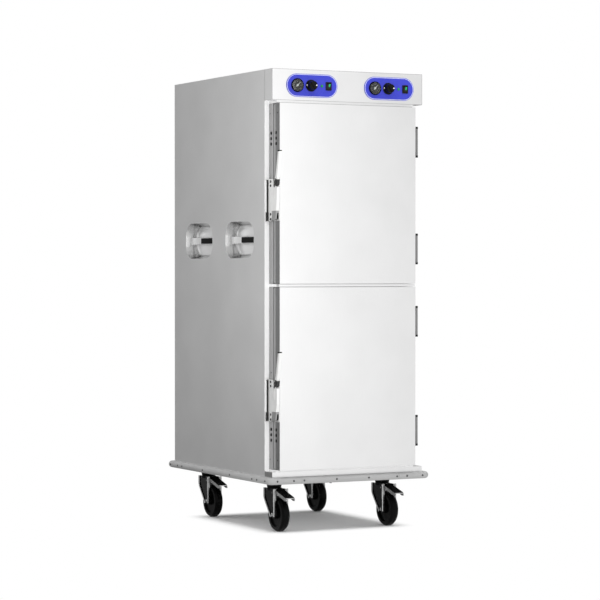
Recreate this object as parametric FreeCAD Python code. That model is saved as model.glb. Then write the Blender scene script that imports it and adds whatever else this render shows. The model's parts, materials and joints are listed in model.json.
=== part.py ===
# Food warming cabinet on casters: two insulated compartments, two doors, one control set for each.
# Millimetres, +Z up, doors face -Y, origin on the floor under the middle of the whole outline.
import FreeCAD, Part
import math
import os

# Clearances
part_gap = 0.5
running_gap = 0.05

# Cabinet body
body_width = 630.0
body_depth = 817.0
overall_height = 1709.0
sheet = 1.2
liner_sheet = 1.0
rear_wall = 45.0
ceiling_board = 22.5
header_height = 115.0
overhang = 62.0
gland_side_inset = 90.0
gland_reach = 20.0
gland_nut_depth = 8.0
gland_hex_height = 7.0
gland_radius = 14.0
gland_cap_radius = 11.2
gland_thread_radius = 9.8
gland_bore_radius = 4.9
gland_chamfer = 3.0

# Base frame
base_height = 44.0
frame_rail = 40.0
frame_gauge = 3.0
cross_plate_depth = 130.0

# Doors, collars and gaskets
lower_door_height = 670.0
door_gap = 12.0
door_top_gap = 12.0
door_bottom_gap = 8.0
door_left_margin = 18.0
door_right_margin = 43.0
door_thickness = 37.0
collar_depth = 35.0
collar_left = 42.0
collar_right = 18.0
collar_end = 14.0
rail_gap = 1.0
gasket_space = 16.0
gasket_width = 14.0
gasket_inset = 1.0
gasket_gap = 0.5
gasket_shoulder = 5.6
gasket_lip = 3.0
door_panel_inset = 46.0
door_panel_rise = 9.0

# Door hinges
hinge_height = 116.0
hinge_inset = 130.0
hinge_arm = 22.0
hinge_gauge = 3.0
hinge_offset = 7.0
hinge_setback = 5.0
hinge_side_gap = 2.0
hinge_margin = 2.0
hinge_web = 4.0
knuckle_radius = 5.0
knuckle_cap = 8.0
hinge_pin_radius = 3.0

# Door latches
upper_hub_rise = 371.0
lower_hub_rise = 318.0
latch_width = 14.0
latch_drop = 141.0
latch_pin_radius = 3.0
latch_head_radius = 6.0
latch_head_height = 1.5
latch_cheek = 3.0
cheek_margin = 1.0
cheek_corner = 4.0
cover_clearance = 4.0
cover_proud = 5.0
cover_margin = 2.0
cover_shoulder = 20.0
cover_belly = 60.0
cover_foot_setback = 9.0
hub_radius = 12.0
hub_setback = 7.0
lever_rise = 116.0
lever_reach = 24.0
lever_gauge = 5.0
lever_tip_height = 8.0
lever_tip_depth = 11.0
lever_root = 5.0
lever_waist = 24.0
cam_reach = 21.0
cam_height = 8.0
cam_inset = 3.0
strike_standoff = 7.0
strike_gauge = 2.0
strike_top = 13.0
strike_corner = 4.0
strike_margin = 2.0
strike_slant_rise = 40.0
strike_slant_run = 14.0
packing_depth = 8.0
packing_foot = 33.0
packing_foot_reach = 17.0
packing_reach = 14.0
packing_corner = 2.0
packing_spacer = 32.0

# Bumper
bumper_height = 26.0
bumper_reach = 24.0
bumper_nose = 12.5
bumper_rise = -1.0
bumper_leg = 110.0
bumper_joint = 1.0

# Lifting handles in the sides
recess_length = 250.0
recess_height = 140.0
recess_corner = 58.0
recess_depth = 48.0
recess_taper = 12.0
recess_floor_round = 15.0
recess_rise = 854.0
recess_front_setback = 216.0
recess_rear_inset = 234.0
bar_height = 28.0
bar_thickness = 8.0
bar_depth = 23.0
bar_corner = 2.5
grip_length = 110.0
grip_height = 22.0
grip_thickness = 2.0
grip_corner = 5.0
grip_ahead = 28.0

# Controls on the header
plate_length = 205.0
plate_height = 80.0
plate_thickness = 2.0
round_end_gap = 0.01
left_plate_inset = 163.0
right_plate_inset = 143.0
plate_drop = 1.5
dial_offset = -61.0
knob_offset = -5.0
lamp_offset = 40.0
switch_offset = 68.0

# Dial thermometers
dial_radius = 25.0
dial_barrel = 20.0
dial_depth = 28.0
bezel_rise = 6.0
bezel_chamfer = 1.5
bezel_lip = 2.5
bezel_ledge = 1.5
lens_rise = 4.4
lens_thickness = 1.2
lens_crown = 0.3
lens_flat = 13.5
face_rise = 1.0
needle_pin_radius = 1.0
needle_clearance = 0.8
needle_lift = 1.0
needle_gauge = 0.8
needle_hub_radius = 3.0
needle_length = 17.0
needle_tail = 6.0
needle_root = 3.2
needle_tip = 0.8
needle_lean = 45.0

# Thermostats and knobs
thermostat_size = 38.0
thermostat_depth = 30.0
bush_radius = 6.0
spindle_radius = 3.0
spindle_length = 13.2
knob_lift = 1.0
knob_radius = 22.0
knob_height = 26.0
skirt_height = 4.5
skirt_edge = 2.5
skirt_chamfer = 2.0
grip_root_length = 39.6
grip_root_width = 13.0
grip_tip_length = 31.0
grip_tip_width = 9.0
knob_waist_radius = 17.5
knob_crown_radius = 16.0
knob_crown_drop = 3.0
knob_lean = -35.0

# Pilot lamps and rocker switches
lamp_radius = 5.0
lamp_shank_radius = 4.0
lamp_depth = 16.0
lamp_rim = 2.0
lamp_shoulder_rise = 4.2
lamp_shoulder_radius = 3.0
lamp_rise = 5.0
switch_width = 24.0
switch_height = 31.0
switch_border = 3.0
switch_wall = 1.6
switch_bezel = 2.5
switch_corner = 2.0
switch_depth = 24.0
switch_floor = 3.0
rocker_axis_depth = 4.0
rocker_side_gap = 1.0
rocker_end_gap = 1.5
rocker_back = 5.0
rocker_face = 8.0
rocker_valley = 2.0
rocker_chamfer = 4.0
rocker_corner = 0.8
rocker_pin_radius = 1.2
rocker_pin_reach = 2.0
rocker_tilt = 6.0

# Casters
caster_height = 187.0
caster_trail = 40.0
caster_side_inset = 85.0
front_kingpin_setback = 156.0
rear_kingpin_setback = 742.0
mount_plate_x = 105.0
mount_plate_y = 85.0
mount_plate_gauge = 4.0
race_height = 24.0
race_radius = 30.0
race_taper = 4.0
swivel_gap = 0.4
kingpin_radius = 6.0
kingpin_head_radius = 11.0
kingpin_head_height = 4.0
wheel_radius = 63.5
wheel_width = 32.0
tread_shoulder = 8.0
tread_round = 6.0
web_drop = 6.0
web_radius = 43.5
web_slope = 3.0
wheel_hub_radius = 15.0
wheel_hub_flare = 2.0
axle_radius = 5.0
axle_head_radius = 8.0
axle_head_height = 6.0
fork_gauge = 3.0
fork_gap = 3.5
fork_foot = 14.0
fork_back = 34.0
fork_waist = 36.0
fork_bend = 26.0
fork_lip = 9.0
crown_radius = 29.0
crown_thickness = 8.0
bridge_margin = 6.0

# Brake pedals
brake_pivot_ahead = 28.0
brake_pivot_drop = 43.0
brake_pivot_radius = 3.0
brake_barrel_radius = 6.0
pedal_width = 37.0
pedal_root_ahead = 9.0
pedal_root_rise = 13.0
pedal_length = 95.0
pedal_drop = 26.0
pedal_gauge = 3.0
pedal_arm_depth = 11.0
pedal_hook = 7.0
pedal_round = 3.0
shoe_width = 20.0
shoe_length = 15.0
shoe_drop = 12.5

# Inside fittings
rack_depth = 36.0
rack_post = 25.0
rack_setback = 20.0
rack_post_inset = 60.0
rack_head_gap = 12.0
ledge_width = 24.0
ledge_height = 12.0
ledge_step = 90.0
ledge_top_gap = 60.0
ledge_foot_gap = 40.0
heater_radius = 4.5
heater_leg_step = 180.0
heater_height = 18.0
heater_setback = 50.0
tray_width = 400.0
tray_length = 420.0
tray_floor_height = 36.0
tray_depth = 40.0
tray_setback = 170.0

# Levels and planes worked out from the sizes above
half = body_width / 2
base_top = caster_height + base_height
header_bottom = overall_height - header_height
lower_z0 = base_top + door_bottom_gap
lower_z1 = lower_z0 + lower_door_height
upper_z0 = lower_z1 + door_gap
upper_z1 = header_bottom - door_top_gap
door_reach = collar_depth + gasket_space + door_thickness
front_reach = door_reach + lever_reach
rear_reach = body_depth + bumper_reach
frame_y = (front_reach - rear_reach) / 2
rear_y = frame_y + body_depth
header_y = frame_y - overhang
collar_y = frame_y - collar_depth
door_back = collar_y - gasket_space
door_y = door_back - door_thickness
door_x0 = -half + door_left_margin
door_x1 = half - door_right_margin
opening_x0 = door_x0 + collar_left
opening_x1 = door_x1 + hinge_side_gap - collar_right
opening_middle = (opening_x0 + opening_x1) / 2
liner_y = frame_y + sheet
rear_liner_y = rear_y - rear_wall
gland_x = half - gland_side_inset
gland_z = header_bottom + header_height / 2
hinge_x = door_x1 + hinge_offset
hinge_y = door_y + hinge_setback
hub_y = door_y + hub_setback
plate_y = header_y - plate_thickness
plate_centres = {"left": -half + left_plate_inset, "right": half - right_plate_inset}
plate_centre_height = header_bottom + header_height / 2 - plate_drop
rocker_axis_y = plate_y + rocker_axis_depth
bumper_bottom = caster_height + bumper_rise
recess_centre_height = base_top + recess_rise
tray_front = liner_y + tray_setback
crown_top = caster_height - mount_plate_gauge - race_height
crown_bottom = crown_top - crown_thickness
leg_inner = wheel_width / 2 + fork_gap
leg_outer = leg_inner + fork_gauge
brake_pivot_z = caster_height - brake_pivot_drop
doors = {
    "upper": (upper_z0, upper_z1, upper_z0 + upper_hub_rise),
    "lower": (lower_z0, lower_z1, lower_z0 + lower_hub_rise),
}
compartments = [(z0 + collar_end, z1 - collar_end) for z0, z1, _ in doors.values()]
handle_centres = [frame_y + recess_front_setback, rear_y - recess_rear_inset]
kingpins = {}
for row, setback in (("front", front_kingpin_setback), ("rear", rear_kingpin_setback)):
    kingpins[row + "_left"] = (-half + caster_side_inset, header_y + setback)
    kingpins[row + "_right"] = (half - caster_side_inset, header_y + setback)


def vec(x, y, z):
    return FreeCAD.Vector(x, y, z)


X_AXIS = vec(1, 0, 0)
Y_AXIS = vec(0, 1, 0)
Z_AXIS = vec(0, 0, 1)
ORIGIN = vec(0, 0, 0)


def save(name, solids):
    shape = solids[0] if len(solids) == 1 else Part.makeCompound(solids)
    shape.exportStep("parts/" + name + ".step")


def block(x0, x1, y0, y1, z0, z1):
    return Part.makeBox(x1 - x0, y1 - y0, z1 - z0, vec(x0, y0, z0))


def rod(base, axis, radius, length):
    return Part.makeCylinder(radius, length, base, axis)


def on_front(y):
    return lambda u, v: vec(u, y, v)


def on_side(x):
    return lambda u, v: vec(x, u, v)


def on_level(z):
    return lambda u, v: vec(u, v, z)


def outline(corners, place):
    # A closed wire through corners (u, v, radius), each corner rounded to its own radius
    starts = []
    ends = []
    arcs = []
    for i, (u, v, radius) in enumerate(corners):
        here = vec(u, v, 0)
        back = vec(corners[i - 1][0], corners[i - 1][1], 0) - here
        ahead = vec(corners[(i + 1) % len(corners)][0], corners[(i + 1) % len(corners)][1], 0) - here
        half_angle = back.getAngle(ahead) / 2
        back.normalize()
        ahead.normalize()
        run = radius / math.tan(half_angle)
        inward = back + ahead
        start = here + back * run
        end = here + ahead * run
        starts.append(place(start.x, start.y))
        ends.append(place(end.x, end.y))
        if radius > 0:
            inward.normalize()
            middle = here + inward * (radius / math.sin(half_angle) - radius)
            arcs.append(Part.Arc(starts[i], place(middle.x, middle.y), ends[i]).toShape())
        else:
            arcs.append(None)
    edges = []
    for i in range(len(corners)):
        if arcs[i]:
            edges.append(arcs[i])
        follower = starts[(i + 1) % len(corners)]
        if ends[i].distanceToPoint(follower) > 1e-6:
            edges.append(Part.LineSegment(ends[i], follower).toShape())
    return Part.Wire(edges)


def prism(corners, place, direction):
    return Part.Face(outline(corners, place)).extrude(direction)


def rectangle(u0, u1, v0, v1, radius=0):
    return [(u0, v0, radius), (u1, v0, radius), (u1, v1, radius), (u0, v1, radius)]


def turned(profile, centre, axis):
    # A solid of revolution about axis through centre, from (radius, distance along axis) points
    across = Z_AXIS if abs(axis.z) < 0.5 else X_AXIS
    points = [centre + across * r + axis * h for r, h in profile]
    return Part.Face(Part.makePolygon(points + points[:1])).revolve(centre, axis, 360)


def mitred_ring(x0, x1, z0, z1, profile):
    # A closed ring of four bars with mitred corners; profile rows are (inset, y)
    section = [(inset, y, 0) for inset, y in profile]
    wide = max(inset for inset, _ in profile)
    front = min(y for _, y in profile)
    deep = max(y for _, y in profile) - front
    outer = rectangle(x0, x1, z0, z1)
    inner = rectangle(x0 + wide, x1 - wide, z0 + wide, z1 - wide)
    along_x = X_AXIS * (x1 - x0)
    along_z = Z_AXIS * (z1 - z0)
    sides = [
        (lambda u, v: vec(x0, v, z0 + u), along_x),
        (lambda u, v: vec(x1 - u, v, z0), along_z),
        (lambda u, v: vec(x0, v, z1 - u), along_x),
        (lambda u, v: vec(x0 + u, v, z0), along_z),
    ]
    bars = []
    for i, (place, run) in enumerate(sides):
        j = (i + 1) % len(sides)
        mitre = prism([outer[i], outer[j], inner[j], inner[i]], on_front(front), Y_AXIS * deep)
        bars.append(prism(section, place, run).common(mitre))
    return bars[0].fuse(bars[1:]).removeSplitter()


def mirrored(shape):
    return shape.mirror(ORIGIN, X_AXIS)


# Outer skin
def recess_corners(centre_y, inset):
    u = recess_length / 2 - inset
    v = recess_height / 2 - inset
    z = recess_centre_height
    return rectangle(centre_y - u, centre_y + u, z - v, z + v, recess_corner - inset)


def side_panel():
    panel = block(-half, -half + sheet, frame_y + sheet, rear_y, base_top, overall_height - sheet)
    for centre_y in handle_centres:
        panel = panel.cut(prism(recess_corners(centre_y, 0), on_side(-half), X_AXIS * sheet))
    return panel


def rear_panel():
    panel = block(-half + sheet, half - sheet, rear_y - sheet, rear_y, base_top, overall_height - sheet)
    return panel.cut(rod(vec(gland_x, rear_y - sheet, gland_z), Y_AXIS, gland_thread_radius, sheet))


def cable_gland():
    # Threaded neck through the rear panel, broad collar outside, round cap with a bore for a lead
    collar_top = sheet + gland_hex_height
    cap_edge = gland_cap_radius - gland_chamfer
    profile = [(gland_bore_radius, -gland_nut_depth), (gland_thread_radius, -gland_nut_depth)]
    profile += [(gland_thread_radius, sheet), (gland_radius, sheet), (gland_radius, collar_top)]
    profile += [(gland_cap_radius, collar_top), (gland_cap_radius, gland_reach - gland_chamfer)]
    profile += [(cap_edge, gland_reach), (gland_bore_radius, gland_reach)]
    return turned(profile, vec(gland_x, rear_y - sheet, gland_z), Y_AXIS)


def front_frame():
    # Strips of the front plane round both doorways, and the rails above, between and below the doors
    x0, x1, y0, y1 = opening_x0, opening_x1, frame_y, frame_y + sheet
    strips = [
        block(-half, x0, y0, y1, base_top, header_bottom),
        block(x1, half, y0, y1, base_top, header_bottom),
        block(x0, x1, y0, y1, base_top, lower_z0 + collar_end),
        block(x0, x1, y0, y1, lower_z1 - collar_end, upper_z0 + collar_end),
        block(x0, x1, y0, y1, upper_z1 - collar_end, header_bottom),
    ]
    gaps = [
        (base_top, lower_z0 - rail_gap),
        (lower_z1 + rail_gap, upper_z0 - rail_gap),
        (upper_z1 + rail_gap, header_bottom),
    ]
    for z0, z1 in gaps:
        strips.append(block(door_x0, door_x1 + hinge_side_gap, header_y + sheet, frame_y, z0, z1))
    return strips


def collar_section(outer, inner):
    # Folded section of a collar bar: outer wall, front and inner wall, open towards the frame
    t = sheet if inner > outer else -sheet
    points = [(outer, frame_y), (outer, collar_y), (inner, collar_y), (inner, frame_y), (inner - t, frame_y)]
    points += [(inner - t, collar_y + sheet), (outer + t, collar_y + sheet), (outer + t, frame_y)]
    return [(u, v, 0) for u, v in points]


def door_collars():
    bars = []
    across = X_AXIS * (opening_x1 - opening_x0)
    for z0, z1, _ in doors.values():
        upright = Z_AXIS * (z1 - z0)
        bars.append(prism(collar_section(door_x0, opening_x0), on_level(z0), upright))
        bars.append(prism(collar_section(door_x1 + hinge_side_gap, opening_x1), on_level(z0), upright))
        for outer, inner in ((z0, z0 + collar_end), (z1, z1 - collar_end)):
            bars.append(prism(collar_section(outer, inner), lambda u, v: vec(opening_x0, v, u), across))
    return bars


def header_shell():
    z0, z1 = header_bottom, overall_height
    shell = block(-half, half, header_y, frame_y, z0, z1)
    shell = shell.cut(block(-half + sheet, half - sheet, header_y + sheet, frame_y, z0 + sheet, z1 - sheet))
    for centre in plate_centres.values():
        shell = shell.cut(control_holes(centre, header_y, sheet))
    return shell


def top_panel():
    return block(-half, half, frame_y, rear_y, overall_height - sheet, overall_height)


# Base and bumper
def base_frame():
    # Welded plates: four webs with flanges at foot and head, the deck, cross plates over the casters
    t = frame_gauge
    z0, z1 = caster_height, base_top
    y0, y1 = header_y, rear_y
    web_x = half - t
    rail_x = half - frame_rail
    plates = [
        block(-half, -web_x, y0, y1, z0, z1),
        block(web_x, half, y0, y1, z0, z1),
        block(-web_x, web_x, y0, y0 + t, z0, z1),
        block(-web_x, web_x, y1 - t, y1, z0, z1),
    ]
    for z, front_edge in ((z0, y0 + frame_rail), (z1 - t, frame_y + frame_rail)):
        plates += [
            block(-web_x, -rail_x, y0 + t, y1 - t, z, z + t),
            block(rail_x, web_x, y0 + t, y1 - t, z, z + t),
            block(-rail_x, rail_x, y0 + t, front_edge, z, z + t),
            block(-rail_x, rail_x, y1 - frame_rail, y1 - t, z, z + t),
        ]
    for _, y in (kingpins["front_left"], kingpins["rear_left"]):
        front = max(y - cross_plate_depth / 2, y0 + frame_rail)
        back = min(y + cross_plate_depth / 2, y1 - frame_rail)
        plates.append(block(-rail_x, rail_x, front, back, z0, z0 + t))
    plates.append(block(-rail_x, rail_x, frame_y + frame_rail, y1 - frame_rail, z1 - sheet, z1))
    return plates


def bumper_section(place):
    z0 = bumper_bottom
    z1 = bumper_bottom + bumper_height
    corners = [(0, z0, 0), (bumper_reach, z0, bumper_nose), (bumper_reach, z1, bumper_nose), (0, z1, 0)]
    return Part.Face(outline(corners, place))


def bumper_rails():
    x_run = half - bumper_leg - bumper_joint
    y0 = header_y + bumper_leg + bumper_joint
    y1 = rear_y - bumper_leg - bumper_joint
    front = bumper_section(lambda u, v: vec(-x_run, header_y - u, v)).extrude(X_AXIS * 2 * x_run)
    rear = bumper_section(lambda u, v: vec(-x_run, rear_y + u, v)).extrude(X_AXIS * 2 * x_run)
    left = bumper_section(lambda u, v: vec(-half - u, y0, v)).extrude(Y_AXIS * (y1 - y0))
    return [front, rear, left, mirrored(left)]


def bumper_corner(y, outward):
    # A quarter-turn nose with a straight leg along each side of the base
    leg_x = bumper_section(lambda u, v: vec(-half, y + outward * u, v)).extrude(X_AXIS * bumper_leg)
    leg_y = bumper_section(lambda u, v: vec(-half - u, y, v)).extrude(Y_AXIS * -outward * bumper_leg)
    nose = bumper_section(lambda u, v: vec(-half - u, y, v)).revolve(vec(-half, y, 0), Z_AXIS, -90 * outward)
    return leg_x.fuse([leg_y, nose]).removeSplitter()


def bumper_corners():
    front = bumper_corner(header_y, -1)
    rear = bumper_corner(rear_y, 1)
    return [front, mirrored(front), rear, mirrored(rear)]


# Lifting handles
def recess_solid(centre_y, inset):
    # The space of a recess, drawn inward from the side panel and tapering to a floor with a round edge
    floor_x = -half + recess_depth + liner_sheet - inset
    mouth = outline(recess_corners(centre_y, inset), on_side(-half))
    floor = outline(recess_corners(centre_y, inset + recess_taper), on_side(floor_x))
    space = Part.makeLoft([mouth, floor], True, True)
    edges = [edge for edge in space.Edges if all(abs(end.X - floor_x) < part_gap for end in edge.Vertexes)]
    return space.makeFillet(recess_floor_round - inset, edges)


def lifting_handle(centre_y):
    # Drawn cup and the flat bar that crosses it from end to end
    hollow = recess_solid(centre_y, liner_sheet)
    cup = recess_solid(centre_y, 0).cut(hollow)
    x0 = -half + bar_depth
    z0 = recess_centre_height - bar_height / 2
    corners = rectangle(x0, x0 + bar_thickness, z0, z0 + bar_height, bar_corner)
    bar = prism(corners, on_front(centre_y - recess_length / 2), Y_AXIS * recess_length)
    return [cup, bar.common(hollow)]


def handle_grip(centre_y):
    x1 = -half + bar_depth
    y = centre_y - grip_ahead
    z = recess_centre_height
    u = grip_length / 2
    v = grip_height / 2
    corners = rectangle(y - u, y + u, z - v, z + v, grip_corner)
    return prism(corners, on_side(x1 - grip_thickness), X_AXIS * grip_thickness)


def both_sides(shapes):
    return shapes + [mirrored(shape) for shape in shapes]


# Liner and insulation
def side_liners():
    t = liner_sheet
    z0 = lower_z0 + collar_end - t
    z1 = upper_z1 - collar_end + t
    left = block(opening_x0 - t, opening_x0, liner_y, rear_liner_y, z0, z1)
    right = block(opening_x1, opening_x1 + t, liner_y, rear_liner_y, z0, z1)
    return [left, right]


def rear_liner():
    t = liner_sheet
    z0 = lower_z0 + collar_end - t
    z1 = upper_z1 - collar_end + t
    return block(opening_x0 - t, opening_x1 + t, rear_liner_y, rear_liner_y + t, z0, z1)


def compartment_shelves():
    # Lower floor, the insulated shelf between the compartments, and the ceiling
    t = liner_sheet
    x0, x1, y0, y1 = opening_x0, opening_x1, liner_y, rear_liner_y
    floor_z = lower_z0 + collar_end
    shelf_z0 = lower_z1 - collar_end
    shelf_z1 = upper_z0 + collar_end
    ceiling_z = upper_z1 - collar_end
    floor = block(x0, x1, y0, y1, floor_z - t, floor_z)
    shelf = block(x0, x1, y0, y1, shelf_z0, shelf_z1)
    shelf = shelf.cut(block(x0 + t, x1 - t, y0 + t, y1, shelf_z0 + t, shelf_z1 - t))
    ceiling = block(x0, x1, y0, y1, ceiling_z, ceiling_z + t)
    return [floor, shelf, ceiling]


def insulation_boards():
    t = liner_sheet
    gap = part_gap
    x0 = -half + sheet + gap
    x1 = half - sheet - gap
    y0 = liner_y + gap
    y1 = rear_liner_y + t + gap
    y2 = rear_y - sheet - gap
    z0 = base_top + gap
    floor_z = lower_z0 + collar_end - t - gap
    z1 = upper_z1 - collar_end + t + gap
    left = block(x0, opening_x0 - t - gap, y0, y1 - gap, z0, z1)
    right = block(opening_x1 + t + gap, x1, y0, y1 - gap, z0, z1)
    u = recess_length / 2 + gap
    v = recess_height / 2 + gap
    z = recess_centre_height
    for centre_y in handle_centres:
        left = left.cut(block(-half, opening_x0, centre_y - u, centre_y + u, z - v, z + v))
        right = right.cut(block(opening_x1, half, centre_y - u, centre_y + u, z - v, z + v))
    rear = block(x0, x1, y1, y2, z0, z1)
    bottom = block(opening_x0, opening_x1, y0, y1 - gap, z0, floor_z)
    top = block(x0, x1, y0, y2, z1 + gap, z1 + gap + ceiling_board)
    return [left, right, rear, bottom, top]


# Doors
def door_shell(name):
    z0, z1, _ = doors[name]
    t = liner_sheet
    shell = block(door_x0, door_x1, door_y, door_back, z0, z1)
    return shell.cut(block(door_x0 + t, door_x1 - t, door_y + t, door_back, z0 + t, z1 - t))


def door_liner(name):
    # A pan that closes the back of the door, with a raised middle panel on sloping sides
    z0, z1, _ = doors[name]
    t = liner_sheet
    rise = door_panel_rise

    def panel(y, inset):
        corners = rectangle(door_x0 + inset, door_x1 - inset, z0 + inset, z1 - inset, rise)
        return outline(corners, on_front(y))

    rim = block(door_x0 + t, door_x1 - t, door_back - t, door_back, z0 + t, z1 - t)
    foot = panel(door_back - t, door_panel_inset)
    crown = panel(door_back + rise, door_panel_inset + rise)
    inner_foot = panel(door_back - t, door_panel_inset + t)
    inner_crown = panel(door_back + rise - t, door_panel_inset + t + rise)
    raised = Part.makeLoft([foot, crown], True)
    hollow = Part.makeLoft([inner_foot, inner_crown], True)
    return rim.fuse(raised).cut(hollow).removeSplitter()


def door_gasket(name):
    # An extruded rubber section with a narrow lip towards the collar
    z0, z1, _ = doors[name]
    tip = collar_y - gasket_gap
    shoulder = door_back + gasket_shoulder
    profile = [(0, door_back), (gasket_width, door_back), (gasket_width, shoulder)]
    profile += [(gasket_width - gasket_lip, tip), (gasket_lip, tip), (0, shoulder)]
    i = gasket_inset
    return mitred_ring(door_x0 + i, door_x1 - i, z0 + i, z1 - i, profile)


# Hinges
def hinge_heights(name):
    z0, z1, _ = doors[name]
    return [z0 + hinge_inset, z1 - hinge_inset]


def fixed_leaf(z):
    # Leaf on the collar with an arm at each end that carries a knuckle, and the pin through both
    x0 = door_x1 + hinge_side_gap
    x1 = x0 + hinge_gauge
    z0 = z - hinge_height / 2
    z1 = z + hinge_height / 2
    leaf_y = collar_y + hinge_margin
    arm_height = hinge_arm - knuckle_cap
    leaf = block(x0, x1, leaf_y, frame_y - hinge_margin, z0, z1)
    for foot in (z0 + knuckle_cap, z1 - hinge_arm):
        arm = block(x0, x1, hinge_y, leaf_y + hinge_gauge, foot, foot + arm_height)
        knuckle = rod(vec(hinge_x, hinge_y, foot), Z_AXIS, knuckle_radius, arm_height)
        leaf = leaf.fuse([arm, knuckle])
    pin_foot = vec(hinge_x, hinge_y, z0 + knuckle_cap)
    pin_length = hinge_height - 2 * knuckle_cap
    bore = rod(pin_foot, Z_AXIS, hinge_pin_radius + running_gap / 2, pin_length)
    pin = rod(pin_foot, Z_AXIS, hinge_pin_radius, pin_length)
    return [leaf.cut(bore).removeSplitter(), pin]


def moving_leaf(z):
    # Leaf on the door's edge with the middle knuckle
    height = hinge_height - 2 * hinge_arm - 2 * part_gap
    z0 = z - height / 2
    thickness = hinge_gauge - part_gap
    web_y = hinge_y - hinge_web / 2
    leaf = block(door_x1, door_x1 + thickness, web_y, door_back - hinge_web, z0, z0 + height)
    web = block(door_x1, hinge_x, web_y, web_y + hinge_web, z0, z0 + height)
    knuckle = rod(vec(hinge_x, hinge_y, z0), Z_AXIS, knuckle_radius, height)
    bore = rod(vec(hinge_x, hinge_y, z0), Z_AXIS, hinge_pin_radius + running_gap, height)
    return leaf.fuse([web, knuckle]).cut(bore).removeSplitter()


# Latches
def latch_strike(hub_z):
    # Plate that stands off the collar's side, with a slanted lower corner
    x0 = door_x0 - strike_standoff - strike_gauge
    y0 = door_back + strike_margin
    y1 = frame_y
    z0 = hub_z - latch_drop
    z1 = hub_z + strike_top
    c = strike_corner
    corners = [(y1, z0, 0), (y1, z1, c), (y0, z1, c)]
    corners += [(y0, z0 + strike_slant_rise, c), (y0 + strike_slant_run, z0, c)]
    return prism(corners, on_side(x0), X_AXIS * strike_gauge)


def strike_packing(hub_z):
    # Black strip with a broad foot on the frame beside the strike, and the spacer behind the strike
    z0 = hub_z - latch_drop
    z1 = hub_z + strike_top - packing_corner
    foot = z0 + packing_foot
    x0 = door_x0 - packing_reach
    x1 = door_x0 - strike_standoff
    foot_x = door_x0 - packing_foot_reach
    r = packing_corner
    corners = [(foot_x, z0, r), (x1 - strike_gauge, z0, 0), (x1 - strike_gauge, z1, 0)]
    corners += [(x0, z1, r), (x0, foot, 0), (foot_x, foot, r)]
    strip = prism(corners, on_front(frame_y - packing_depth), Y_AXIS * packing_depth)
    return [strip, block(x1, door_x0, frame_y - packing_spacer, frame_y, z0 + strike_slant_rise, z1)]


def latch_body(hub_z):
    # Cheek plate on the door's edge, a curved cover below the hub and the pivot pin with its head
    x0 = door_x0 - latch_width
    x1 = door_x0 - latch_cheek
    z0 = hub_z - latch_drop
    y0 = door_y + cheek_margin
    y1 = door_back - cheek_margin
    cheek_corners = rectangle(y0, y1, z0, hub_z + hub_radius, cheek_corner)
    cheek = prism(cheek_corners, on_side(x1), X_AXIS * latch_cheek)
    foot = z0 + latch_cheek
    top = hub_z - hub_radius - cover_clearance
    back = door_back - cover_margin
    front = door_y - cover_proud
    cover_corners = [
        (back, foot, latch_cheek),
        (back, top - cover_shoulder, hub_setback),
        (hub_y + hub_setback, top, cheek_corner),
        (front, top, latch_cheek),
        (front + cover_margin, top - cover_belly, cover_belly / 2),
        (door_y + cover_foot_setback, foot, cover_foot_setback),
    ]
    cover = prism(cover_corners, on_side(x0), X_AXIS * (x1 - x0))
    head_x = x0 - part_gap - latch_head_height
    pin = rod(vec(head_x, hub_y, hub_z), X_AXIS, latch_pin_radius, x1 - head_x)
    head = rod(vec(head_x, hub_y, hub_z), X_AXIS, latch_head_radius, latch_head_height)
    return cheek.fuse([cover, pin, head]).removeSplitter()


def latch_lever(hub_z):
    # Hub with a short cam towards the strike and a handle that leans forward as it rises
    x0 = door_x0 - latch_width
    x1 = door_x0 - latch_cheek - part_gap
    tip_y = door_y - lever_reach
    tip_z = hub_z + lever_rise
    root_z = hub_z + lever_root
    front = hub_y - hub_radius + cheek_margin
    back = hub_y + hub_radius - cheek_corner
    r = lever_gauge / 2
    hub = rod(vec(x0, hub_y, hub_z), X_AXIS, hub_radius, x1 - x0)
    cam_corners = [
        (hub_y, hub_z - cam_height, 0),
        (hub_y + cam_reach, hub_z - lever_root, cam_inset),
        (hub_y + cam_reach, hub_z + cam_inset, cam_inset),
        (hub_y, hub_z + cam_height, 0),
    ]
    cam = prism(cam_corners, on_side(x0 + cam_inset), X_AXIS * (x1 - x0 - 2 * cam_inset))
    handle_corners = [
        (front, root_z, 0),
        (tip_y, tip_z - lever_tip_height, r),
        (tip_y, tip_z, r),
        (tip_y + lever_tip_depth, tip_z, r),
        (front + lever_gauge + cam_inset, root_z + lever_waist, 2 * lever_gauge),
        (back, root_z, 0),
    ]
    handle = prism(handle_corners, on_side(x0), X_AXIS * (x1 - x0))
    bore = rod(vec(x0, hub_y, hub_z), X_AXIS, latch_pin_radius + running_gap, x1 - x0)
    return hub.fuse([cam, handle]).cut(bore).removeSplitter()


# Controls
def control_holes(centre, y, depth):
    z = plate_centre_height
    gap = part_gap
    u = switch_width / 2 - switch_border + gap
    v = switch_height / 2 - switch_border + gap
    switch_x = centre + switch_offset
    holes = [
        rod(vec(centre + dial_offset, y, z), Y_AXIS, dial_barrel + gap, depth),
        rod(vec(centre + knob_offset, y, z), Y_AXIS, bush_radius, depth),
        rod(vec(centre + lamp_offset, y, z), Y_AXIS, lamp_shank_radius + gap, depth),
        block(switch_x - u, switch_x + u, y, y + depth, z - v, z + v),
    ]
    return Part.makeCompound(holes)


def control_plate(centre):
    # Plate with round ends
    z = plate_centre_height
    u = plate_length / 2
    v = plate_height / 2
    corners = rectangle(centre - u, centre + u, z - v, z + v, v - round_end_gap)
    plate = prism(corners, on_front(plate_y), Y_AXIS * plate_thickness)
    return plate.cut(control_holes(centre, plate_y, plate_thickness))


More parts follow.
